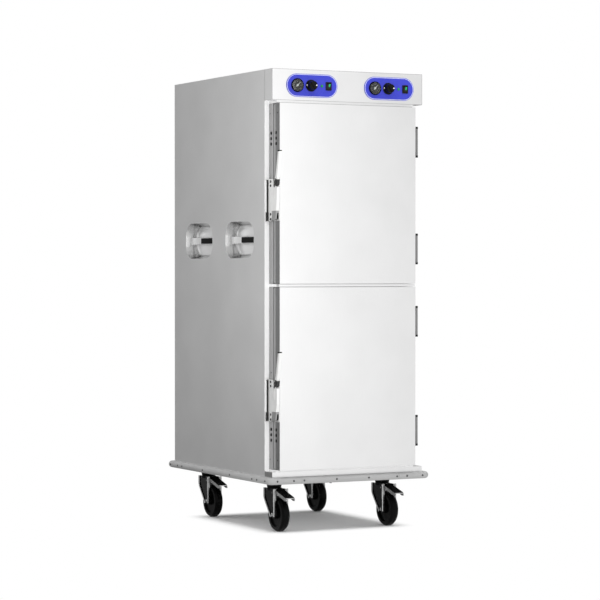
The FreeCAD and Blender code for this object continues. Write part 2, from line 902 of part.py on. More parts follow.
def thermometer_case(centre):
    # Barrel through the header, bezel with a seat for the lens, dial face and the needle's pin
    seat = dial_radius - bezel_lip
    inner = seat - bezel_ledge
    pin_end = needle_clearance - lens_rise
    profile = [(0, dial_depth), (dial_barrel, dial_depth), (dial_barrel, 0), (dial_radius, 0)]
    profile += [(dial_radius, bezel_chamfer - bezel_rise), (dial_radius - bezel_chamfer, -bezel_rise)]
    profile += [(seat, -bezel_rise), (seat, -lens_rise), (inner, -lens_rise), (inner, -face_rise)]
    profile += [(needle_pin_radius, -face_rise), (needle_pin_radius, pin_end), (0, pin_end)]
    return turned(profile, vec(centre + dial_offset, plate_y, plate_centre_height), Y_AXIS)


def thermometer_lens(centre):
    edge = dial_radius - bezel_lip - running_gap
    rim = -lens_rise - lens_thickness
    crown = rim - lens_crown
    profile = [(0, -lens_rise), (edge, -lens_rise), (edge, rim), (lens_flat, crown), (0, crown)]
    return turned(profile, vec(centre + dial_offset, plate_y, plate_centre_height), Y_AXIS)


def needle(centre):
    x = centre + dial_offset
    z = plate_centre_height
    y = plate_y - face_rise - needle_lift
    root = needle_root / 2
    tip = needle_tip / 2
    corners = [(x - root, z - needle_tail, 0), (x + root, z - needle_tail, 0)]
    corners += [(x + tip, z + needle_length, 0), (x - tip, z + needle_length, 0)]
    hub = rod(vec(x, y, z), -Y_AXIS, needle_hub_radius, needle_gauge)
    blade = prism(corners, on_front(y), -Y_AXIS * needle_gauge)
    hole = rod(vec(x, y, z), -Y_AXIS, needle_pin_radius + running_gap, needle_gauge)
    pointer = hub.fuse(blade).cut(hole).removeSplitter()
    pointer.rotate(vec(x, y, z), Y_AXIS, needle_lean)
    return pointer


def thermostat(centre):
    # Body behind the header front, threaded bush through it and the spindle for the knob
    x = centre + knob_offset
    z = plate_centre_height
    y = header_y + sheet
    u = thermostat_size / 2
    body = block(x - u, x + u, y, y + thermostat_depth, z - u, z + u)
    bush = rod(vec(x, plate_y, z), Y_AXIS, bush_radius - running_gap, y - plate_y)
    spindle = rod(vec(x, plate_y - spindle_length, z), Y_AXIS, spindle_radius, spindle_length)
    return body.fuse([bush, spindle]).removeSplitter()


def knob(centre):
    # Skirt with a tapered bar grip and a blind bore for the spindle
    x = centre + knob_offset
    z = plate_centre_height
    back = plate_y - knob_lift
    root = part_gap - skirt_height
    crown = knob_crown_drop - knob_height
    skirt_profile = [(0, 0), (knob_radius, 0), (knob_radius, -skirt_edge)]
    skirt_profile += [(knob_radius - skirt_chamfer, -skirt_height), (0, -skirt_height)]
    waist_profile = [(0, root), (knob_waist_radius, root), (knob_crown_radius, crown), (0, crown)]

    def bar(length, width, y):
        u = width / 2
        v = length / 2
        return outline(rectangle(x - u, x + u, z - v, z + v, u - round_end_gap), on_front(y))

    foot = bar(grip_root_length, grip_root_width, back + root)
    head = bar(grip_tip_length, grip_tip_width, back - knob_height)
    skirt = turned(skirt_profile, vec(x, back, z), Y_AXIS)
    waist = turned(waist_profile, vec(x, back, z), Y_AXIS)
    bore = rod(vec(x, back, z), -Y_AXIS, spindle_radius + running_gap, spindle_length)
    solid = skirt.fuse([Part.makeLoft([foot, head], True), waist]).cut(bore).removeSplitter()
    solid.rotate(vec(x, back, z), Y_AXIS, knob_lean)
    return solid


def pilot_lamp(centre):
    profile = [(0, lamp_depth), (lamp_shank_radius, lamp_depth), (lamp_shank_radius, 0), (lamp_radius, 0)]
    profile += [(lamp_radius, -lamp_rim), (lamp_shoulder_radius, -lamp_shoulder_rise), (0, -lamp_rise)]
    return turned(profile, vec(centre + lamp_offset, plate_y, plate_centre_height), Y_AXIS)


def switch_housing(centre):
    # Bezel on the plate and a deep sleeve through the header that holds the rocker's pins
    x = centre + switch_offset
    z = plate_centre_height
    u = switch_width / 2
    v = switch_height / 2
    front = plate_y - switch_bezel
    back = plate_y + switch_depth
    corners = rectangle(x - u, x + u, z - v, z + v, switch_corner)
    bezel = prism(corners, on_front(front), Y_AXIS * switch_bezel)
    u -= switch_border
    v -= switch_border
    sleeve = block(x - u, x + u, plate_y, back, z - v, z + v)
    pins = rod(vec(x - u, rocker_axis_y, z), X_AXIS, rocker_pin_radius + running_gap, 2 * u)
    u -= switch_wall
    v -= switch_wall
    pocket = block(x - u, x + u, front, back - switch_floor, z - v, z + v)
    return bezel.fuse(sleeve).cut(pocket).cut(pins).removeSplitter()


def rocker(centre):
    # A rocker with a shallow valley across its face, tipped to one side, on two pins
    x = centre + switch_offset
    z = plate_centre_height
    y = rocker_axis_y
    u = switch_width / 2 - switch_border - switch_wall - rocker_side_gap
    v = switch_height / 2 - switch_border - switch_wall - rocker_end_gap
    r = rocker_corner
    back = y + rocker_back
    front = y - rocker_face
    corners = [
        (back, z - v + rocker_chamfer, r),
        (back, z + v - rocker_chamfer, r),
        (y, z + v, r),
        (front, z + v - r, r),
        (front + rocker_valley, z, rocker_face),
        (front, z - v + r, r),
        (y, z - v, r),
    ]
    body = prism(corners, on_side(x - u), X_AXIS * 2 * u)
    pin_half = u + rocker_pin_reach
    pins = rod(vec(x - pin_half, y, z), X_AXIS, rocker_pin_radius, 2 * pin_half)
    solid = body.fuse(pins).removeSplitter()
    solid.rotate(vec(x, y, z), X_AXIS, rocker_tilt)
    return solid


# Casters
def caster_mount(x, y):
    # Top plate, the swivel race under it and the kingpin with its head under the fork
    race_top = caster_height - mount_plate_gauge
    race_foot = crown_top + swivel_gap
    head_top = crown_bottom - swivel_gap
    head_foot = head_top - kingpin_head_height
    u = mount_plate_x / 2
    v = mount_plate_y / 2
    centre = vec(x, y, 0)
    plate = block(x - u, x + u, y - v, y + v, race_top, caster_height)
    race_profile = [(0, race_top), (race_radius, race_top)]
    race_profile += [(race_radius - race_taper, race_foot), (0, race_foot)]
    pin_profile = [(0, race_foot), (kingpin_radius, race_foot), (kingpin_radius, head_top)]
    pin_profile += [(kingpin_head_radius, head_top), (kingpin_head_radius, head_foot), (0, head_foot)]
    return [plate, turned(race_profile, centre, Z_AXIS), turned(pin_profile, centre, Z_AXIS)]


def hexagon(base, radius, height):
    # A bolt head or nut along X
    turns = [math.radians(60 * i) for i in range(6)]
    points = [base + vec(0, radius * math.cos(turn), radius * math.sin(turn)) for turn in turns]
    return Part.Face(Part.makePolygon(points + points[:1])).extrude(X_AXIS * height)


def caster_fork(x, y):
    # Round crown and two legs with lipped front edges, and the axle bolt through their feet
    axle_y = y - caster_trail
    axle_z = wheel_radius
    front = axle_y - fork_foot
    back = y + fork_back
    foot_z = axle_z - fork_foot
    foot_round = fork_foot - part_gap
    corners = [
        (back, crown_top, 0),
        (front, crown_top, 0),
        (front, foot_z, foot_round),
        (axle_y + fork_foot, foot_z, foot_round),
        (back, crown_top - fork_waist, fork_bend),
    ]
    bridge_half = crown_radius - bridge_margin
    fork = rod(vec(x, y, crown_bottom), Z_AXIS, crown_radius, crown_thickness)
    bridge = block(x - leg_outer, x + leg_outer, y - bridge_half, y + bridge_half, crown_bottom, crown_top)
    pieces = [bridge]
    for leg_x, lip_x in ((x - leg_outer, x - leg_outer - fork_lip), (x + leg_inner, x + leg_outer)):
        pieces.append(prism(corners, on_side(leg_x), X_AXIS * fork_gauge))
        pieces.append(block(lip_x, lip_x + fork_lip, front, front + fork_gauge, axle_z, crown_top))
    fork = fork.fuse(pieces)
    left = vec(x - leg_outer, axle_y, axle_z)
    pivot = vec(x - leg_outer, y - brake_pivot_ahead, brake_pivot_z)
    fork = fork.cut(rod(vec(x, y, crown_bottom), Z_AXIS, kingpin_radius + running_gap, crown_thickness))
    fork = fork.cut(rod(left, X_AXIS, axle_radius + running_gap, 2 * leg_outer))
    fork = fork.cut(rod(pivot, X_AXIS, brake_pivot_radius + running_gap, 2 * leg_outer))
    heads = []
    for head_x in (x - leg_outer - axle_head_height, x + leg_outer):
        heads.append(hexagon(vec(head_x, axle_y, axle_z), axle_head_radius, axle_head_height))
    bolt = rod(left, X_AXIS, axle_radius, 2 * leg_outer).fuse(heads)
    return [fork.removeSplitter(), bolt.removeSplitter()]


def caster_wheel(x, y):
    # Solid tyre with a rounded tread, dished web and a longer hub
    rim = wheel_width / 2
    hub = rim + fork_gap - part_gap
    web = rim - web_drop
    side = [(axle_radius + running_gap, hub), (wheel_hub_radius, hub)]
    side += [(wheel_hub_radius + wheel_hub_flare, web), (web_radius, web), (web_radius + web_slope, rim)]
    side += [(wheel_radius - tread_round, rim), (wheel_radius, rim - tread_shoulder)]
    profile = side + [(r, -h) for r, h in reversed(side)]
    return turned(profile, vec(x, y - caster_trail, wheel_radius), X_AXIS)


def caster_brake(x, y):
    # Pedal: a barrel on the fork's pivot, a tread plate between two hooked arms, and the brake shoe
    pivot_y = y - brake_pivot_ahead
    pivot_z = brake_pivot_z
    root_y = pivot_y - pedal_root_ahead
    root_z = pivot_z + pedal_root_rise
    tip_y = root_y - pedal_length
    tip_z = root_z - pedal_drop
    tread_back = root_y + 2 * pedal_gauge
    u = pedal_width / 2
    r = pedal_round
    tread_corners = [
        (tread_back, root_z, 0),
        (root_y, root_z, r),
        (tip_y, tip_z, 0),
        (tip_y, tip_z - pedal_gauge, 0),
        (root_y, root_z - pedal_gauge, r),
        (tread_back, root_z - pedal_gauge, 0),
    ]
    arm_corners = [
        (pivot_y, root_z, 0),
        (root_y, root_z, r),
        (tip_y, tip_z, r),
        (tip_y - pedal_hook, tip_z - pedal_arm_depth, r),
        (tip_y + pedal_hook, tip_z - pedal_arm_depth, r),
        (root_y, root_z - pedal_arm_depth, r),
        (pivot_y, pivot_z - pedal_gauge, 0),
    ]
    shoe_corners = [
        (pivot_y, pivot_z, 0),
        (pivot_y - shoe_length, pivot_z, 0),
        (pivot_y - shoe_length, pivot_z - shoe_drop, r),
        (pivot_y - shoe_length / 2, pivot_z - shoe_drop, r),
    ]
    pieces = [
        prism(tread_corners, on_side(x - u), X_AXIS * pedal_width),
        prism(arm_corners, on_side(x - u), X_AXIS * pedal_gauge),
        prism(arm_corners, on_side(x + u - pedal_gauge), X_AXIS * pedal_gauge),
        prism(shoe_corners, on_side(x - shoe_width / 2), X_AXIS * shoe_width),
        rod(vec(x - leg_outer, pivot_y, pivot_z), X_AXIS, brake_pivot_radius, 2 * leg_outer),
    ]
    barrel_half = leg_inner - part_gap
    barrel = rod(vec(x - barrel_half, pivot_y, pivot_z), X_AXIS, brake_barrel_radius, 2 * barrel_half)
    return barrel.fuse(pieces).removeSplitter()


# Inside fittings
def rack_side(z0, z1):
    # Left rack of one compartment: two posts and the ledges fixed to them
    t = liner_sheet
    x0 = opening_x0 + part_gap
    x1 = x0 + rack_depth - ledge_width
    x2 = x1 + ledge_width
    y0 = liner_y + rack_setback
    y1 = rear_liner_y - rack_setback
    pieces = []
    for post_y in (y0 + rack_post_inset, y1 - rack_post_inset - rack_post):
        pieces.append(block(x0, x1, post_y, post_y + rack_post, z0 + part_gap, z1 - rack_head_gap))
    count = int((z1 - z0 - tray_floor_height - tray_depth - ledge_foot_gap) // ledge_step)
    for i in range(count):
        z = z1 - ledge_top_gap - i * ledge_step
        angle = [(x1, z, 0), (x2, z, 0), (x2, z + t, 0), (x1 + t, z + t, 0)]
        angle += [(x1 + t, z + ledge_height, 0), (x1, z + ledge_height, 0)]
        pieces.append(prism(angle, on_front(y0), Y_AXIS * (y1 - y0)))
    return pieces


def tray_racks():
    racks = []
    for z0, z1 in compartments:
        left = rack_side(z0, z1)
        racks += left + [piece.mirror(vec(opening_middle, 0, 0), X_AXIS) for piece in left]
    return racks


def heating_element(z0):
    # A hairpin tube: two long legs from the rear wall joined by a half turn at the front
    z = z0 + heater_height
    r = heater_leg_step / 2
    front = tray_front + heater_setback
    legs = []
    for x in (opening_middle - r, opening_middle + r):
        legs.append(rod(vec(x, front, z), Y_AXIS, heater_radius, rear_liner_y - front))
    disc = Part.Face(Part.Wire(Part.makeCircle(heater_radius, vec(opening_middle + r, front, z), Y_AXIS)))
    bend = disc.revolve(vec(opening_middle, front, z), Z_AXIS, -180)
    return bend.fuse(legs).removeSplitter()


def water_tray(z0):
    # Open pan over the heating element, held up on two folded side skirts
    t = liner_sheet
    x0 = opening_middle - tray_width / 2
    x1 = opening_middle + tray_width / 2
    y0 = tray_front
    y1 = tray_front + tray_length
    z1 = z0 + tray_floor_height
    top = z1 + tray_depth
    pan = block(x0, x1, y0, y1, z1, top)
    pan = pan.cut(block(x0 + t, x1 - t, y0 + t, y1 - t, z1 + t, top))
    skirts = [block(x0, x0 + t, y0, y1, z0, z1), block(x1 - t, x1, y0, y1, z0, z1)]
    return pan.fuse(skirts).removeSplitter()


os.makedirs("parts", exist_ok=True)

save("left_side_panel", [side_panel()])
save("right_side_panel", [mirrored(side_panel())])
save("rear_panel", [rear_panel()])
save("cable_gland", [cable_gland()])
save("top_panel", [top_panel()])
save("front_frame", front_frame())
save("door_collars", door_collars())
save("header_shell", [header_shell()])
save("base_frame", base_frame())
save("bumper_rails", bumper_rails())
save("bumper_corners", bumper_corners())
save("side_liners", side_liners())
save("rear_liner", [rear_liner()])
save("compartment_shelves", compartment_shelves())
save("insulation_boards", insulation_boards())

handles = []
for handle_y in handle_centres:
    handles += lifting_handle(handle_y)
save("lifting_handles", both_sides(handles))
save("handle_grips", both_sides([handle_grip(handle_y) for handle_y in handle_centres]))

centres = plate_centres.values()
save("control_plates", [control_plate(centre) for centre in centres])
save("thermometer_cases", [thermometer_case(centre) for centre in centres])
save("thermometer_lenses", [thermometer_lens(centre) for centre in centres])
save("thermostats", [thermostat(centre) for centre in centres])
save("pilot_lamps", [pilot_lamp(centre) for centre in centres])
save("switch_housings", [switch_housing(centre) for centre in centres])
for side, centre in plate_centres.items():
    save(side + "_needle", [needle(centre)])
    save(side + "_knob", [knob(centre)])
    save(side + "_rocker", [rocker(centre)])

fixed_leaves = []
for name in doors:
    for hinge_z in hinge_heights(name):
        fixed_leaves += fixed_leaf(hinge_z)
save("hinge_fixed_leaves", fixed_leaves)
save("latch_strikes", [latch_strike(hub_z) for _, _, hub_z in doors.values()])
packings = []
for _, _, hub_z in doors.values():
    packings += strike_packing(hub_z)
save("strike_packings", packings)
for name, (_, _, hub_z) in doors.items():
    save(name + "_door_shell", [door_shell(name)])
    save(name + "_door_liner", [door_liner(name)])
    save(name + "_door_gasket", [door_gasket(name)])
    save(name + "_door_hinge_leaves", [moving_leaf(hinge_z) for hinge_z in hinge_heights(name)])
    save(name + "_latch_body", [latch_body(hub_z)])
    save(name + "_latch_lever", [latch_lever(hub_z)])

mounts = []
for x, y in kingpins.values():
    mounts += caster_mount(x, y)
save("caster_mounts", mounts)
for corner, (x, y) in kingpins.items():
    save(corner + "_fork", caster_fork(x, y))
    save(corner + "_wheel", [caster_wheel(x, y)])
    save(corner + "_brake", [caster_brake(x, y)])

save("tray_racks", tray_racks())
save("heating_elements", [heating_element(z0) for z0, _ in compartments])
save("water_trays", [water_tray(z0) for z0, _ in compartments])
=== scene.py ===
# Looks of the food warming cabinet: finishes, small fittings, studio and camera.
# Metres, +Z up, doors face -Y, origin on the floor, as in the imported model; small pieces are drawn in mm.
import json
import math
import bmesh
import bpy
from mathutils import Matrix, Vector


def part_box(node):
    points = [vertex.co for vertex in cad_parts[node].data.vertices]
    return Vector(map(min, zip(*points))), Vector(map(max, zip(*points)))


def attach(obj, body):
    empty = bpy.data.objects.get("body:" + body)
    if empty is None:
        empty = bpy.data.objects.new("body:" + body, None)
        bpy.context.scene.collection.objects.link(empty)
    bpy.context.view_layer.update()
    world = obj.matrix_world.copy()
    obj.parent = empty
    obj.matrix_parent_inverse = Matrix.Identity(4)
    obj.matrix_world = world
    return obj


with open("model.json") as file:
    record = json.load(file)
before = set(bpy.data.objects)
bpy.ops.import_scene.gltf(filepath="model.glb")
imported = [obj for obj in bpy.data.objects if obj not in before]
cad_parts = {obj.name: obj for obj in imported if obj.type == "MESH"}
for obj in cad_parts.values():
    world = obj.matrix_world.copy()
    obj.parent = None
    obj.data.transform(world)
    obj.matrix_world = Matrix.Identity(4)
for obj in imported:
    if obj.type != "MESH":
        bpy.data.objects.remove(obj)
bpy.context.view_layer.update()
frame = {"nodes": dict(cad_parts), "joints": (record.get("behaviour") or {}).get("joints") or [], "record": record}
scene = bpy.context.scene
MM = 0.001


def span(node):
    # The lowest and highest corners of a CAD node, in millimetres
    return [[round(c / MM, 3) for c in corner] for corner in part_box(node)]


def pivot(name):
    # The place of a joint, in millimetres
    joint = next(row for row in frame["joints"] if row["name"] == name)
    return [round(c / MM, 3) for c in joint["pos_m"]]


# Sizes of the cabinet in millimetres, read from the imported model
header_low, header_high = span("header_shell")
HALF, FRAME_Y, HEADER_TOP = header_high
HEADER_Y, HEADER_FOOT = header_low[1:]
rear_low, rear_high = span("rear_panel")
REAR_Y = rear_high[1]
PANEL_FOOT = rear_low[2]
COLLAR_Y = span("door_collars")[0][1]
RAIL_Y = span("front_frame")[0][1]
door_low, door_high = span("upper_door_shell")
DOOR_X0, DOOR_Y = door_low[:2]
DOOR_X1, DOOR_BACK = door_high[:2]
DOORS = {name: [corner[2] for corner in span(name + "_door_shell")] for name in ("upper", "lower")}

# Hinges: the door leaves sit in the middle of the taller fixed ones
HINGE_HEIGHT = 116.0
HINGE = pivot("upper_door_swing")[:2]
leaf_drop = span("lower_door_hinge_leaves")[0][2] - span("hinge_fixed_leaves")[0][2]
leaf_half = HINGE_HEIGHT / 2 - leaf_drop
HINGES = []
for name in ("lower", "upper"):
    leaf_low, leaf_high = span(name + "_door_hinge_leaves")
    HINGES += [leaf_low[2] + leaf_half, leaf_high[2] - leaf_half]

# Latches: each hub is where its lever turns, and the lever rises from there to its tip
HUBS = {name: pivot(name + "_lever_pull")[2] for name in DOORS}
HUB_Y = pivot("upper_lever_pull")[1]
lever_low, lever_high = span("upper_latch_lever")
LEVER_X0 = lever_low[0]
LEVER_X1 = lever_high[0]
TIP_Y = lever_low[1]
TIP_RISE = lever_high[2] - HUBS["upper"]
LEVER_LEAN = math.atan2(HUB_Y - TIP_Y, TIP_RISE)
STRIKE_X = span("latch_strikes")[0][0]
packing_low, packing_high = span("strike_packings")

# Control plates: two long ovals on the header
PLATE_LENGTH = 205.0
plate_low, plate_high = span("control_plates")
PLATES = {"left": plate_low[0] + PLATE_LENGTH / 2, "right": plate_high[0] - PLATE_LENGTH / 2}
PLATE_Y = plate_low[1]
PLATE_Z = (plate_low[2] + plate_high[2]) / 2
PLATE_RADIUS = (plate_high[2] - plate_low[2]) / 2

# Base and casters
bumper_low, bumper_high = span("bumper_rails")
BUMPER_Z = (bumper_low[2] + bumper_high[2]) / 2
MOUNT_GAUGE = 4.0
MOUNT_FOOT = span("base_frame")[0][2] - MOUNT_GAUGE
CORNERS = ("front_left", "front_right", "rear_left", "rear_right")
KINGPINS = {corner: pivot(corner + "_swivel")[:2] for corner in CORNERS}

# Finishes: the range of grain and cloud that gives the full drift, how far sideways a face looks as it takes
# the edge colour, which is painted shade on most sideways faces and painted light on the cups' floors, and
# where a rocker's window begins and is clear, as shares of its width and height
DRIFT = (0.7, 1.3)
SIDEWAYS = (0.6, 0.8)
WINDOW_ACROSS = (0.46, 0.54)
WINDOW_UP = (0.30, 0.55)


def linear(text):
    # A colour written as sRGB hex, as the linear values that shaders take
    parts = [int(text[i:i + 2], 16) / 255 for i in (1, 3, 5)]
    return [c / 12.92 if c <= 0.04045 else ((c + 0.055) / 1.055) ** 2.4 for c in parts] + [1.0]


def add(tree, kind, sockets=None, **settings):
    # One node with its settings; a socket takes either a value or a link
    made = tree.nodes.new(kind)
    for name, value in settings.items():
        setattr(made, name, value)
    for name, value in (sockets or {}).items():
        if isinstance(value, bpy.types.NodeSocket):
            tree.links.new(value, made.inputs[name])
        else:
            made.inputs[name].default_value = value
    return made


def mapped(tree, value, given, wanted=(0.0, 1.0), **settings):
    # A value taken from one range to another
    sockets = {"Value": value, "From Min": given[0], "From Max": given[1]}
    sockets.update({"To Min": wanted[0], "To Max": wanted[1]})
    return add(tree, "ShaderNodeMapRange", sockets, **settings).outputs[0]


def maths(tree, operation, first, second=0.0):
    return add(tree, "ShaderNodeMath", {0: first, 1: second}, operation=operation).outputs[0]


def mixed_colour(tree, share, first, second):
    # Sockets 6 and 7 of a Mix node take its colours, and its output 2 gives the result
    return add(tree, "ShaderNodeMix", {0: share, 6: first, 7: second}, data_type="RGBA").outputs[2]


def new_tree(owner):
    # The empty node tree of a material or world
    owner.use_nodes = True
    owner.node_tree.nodes.clear()
    return owner.node_tree


def noise(tree, place, scale, detail):
    return add(tree, "ShaderNodeTexNoise", {"Vector": place, "Scale": scale, "Detail": detail}).outputs[0]


def finish_of(name, dark, light, roughness, grain, relief, cloud=160.0, edge=None, ahead=None,
              edge_rough=None, shade=None, **constants):
    # A finish whose colour and roughness drift with a grain of a real size (mm along X, Y, Z) and a slow
    # cloud (mm). Relief is the grain's depth (mm). Edge is a colour painted on the faces that look sideways,
    # as painted shade, and on the cups' floors as painted light; it is held to what stands forward of ahead
    # (mm along Y) if given, and edge_rough is their roughness. Shade is the colour round a lit window
    material = bpy.data.materials.new(name)
    tree = new_tree(material)
    own = add(tree, "ShaderNodeTexCoord").outputs
    place = own["Object"]
    scaled = add(tree, "ShaderNodeMapping", {"Vector": place, "Scale": [1 / (MM * size) for size in grain]})
    fine = noise(tree, scaled.outputs[0], 1.0, 3.0)
    slow = noise(tree, place, 1 / (MM * cloud), 2.0)
    drift = mapped(tree, maths(tree, "ADD", fine, slow), DRIFT)
    tint = add(tree, "ShaderNodeValToRGB", {"Fac": drift})
    tint.color_ramp.elements[0].color = linear(dark)
    tint.color_ramp.elements[1].color = linear(light)
    colour = tint.outputs[0]
    rough = mapped(tree, drift, (0.0, 1.0), roughness)
    # The edge colour paints shade on the faces that look sideways, and light on the cups' floors
    if edge:
        faces = add(tree, "ShaderNodeSeparateXYZ", {"Vector": own["Normal"]})
        mask = mapped(tree, maths(tree, "ABSOLUTE", faces.outputs["X"]), SIDEWAYS)
        if ahead is not None:
            along = add(tree, "ShaderNodeSeparateXYZ", {"Vector": place})
            mask = maths(tree, "MULTIPLY", mask, maths(tree, "LESS_THAN", along.outputs["Y"], ahead * MM))
        colour = mixed_colour(tree, mask, colour, linear(edge))
        if edge_rough is not None:
            # Sockets 2 and 3 of a Mix node take its plain values
            both = {0: mask, 2: rough, 3: edge_rough}
            rough = add(tree, "ShaderNodeMix", both, data_type="FLOAT").outputs[0]
    bump = add(tree, "ShaderNodeBump", {"Height": fine, "Distance": relief * MM})
    sockets = {"Base Color": colour, "Roughness": rough, "Normal": bump.outputs[0]}
    for key, value in constants.items():
        sockets[key.replace("_", " ").title().replace("Ior", "IOR")] = value
    if shade:
        within = add(tree, "ShaderNodeSeparateXYZ", {"Vector": own["Generated"]}).outputs
        rightward = mapped(tree, within["X"], WINDOW_ACROSS)
        upward = mapped(tree, within["Z"], WINDOW_UP)
        window = maths(tree, "MULTIPLY", rightward, upward)
        sockets["Base Color"] = mixed_colour(tree, window, linear(shade), colour)
        sockets["Emission Strength"] = maths(tree, "MULTIPLY", window, constants["emission_strength"])
    shader = add(tree, "ShaderNodeBsdfPrincipled", sockets)
    add(tree, "ShaderNodeOutputMaterial", {"Surface": shader.outputs[0]})
    return material


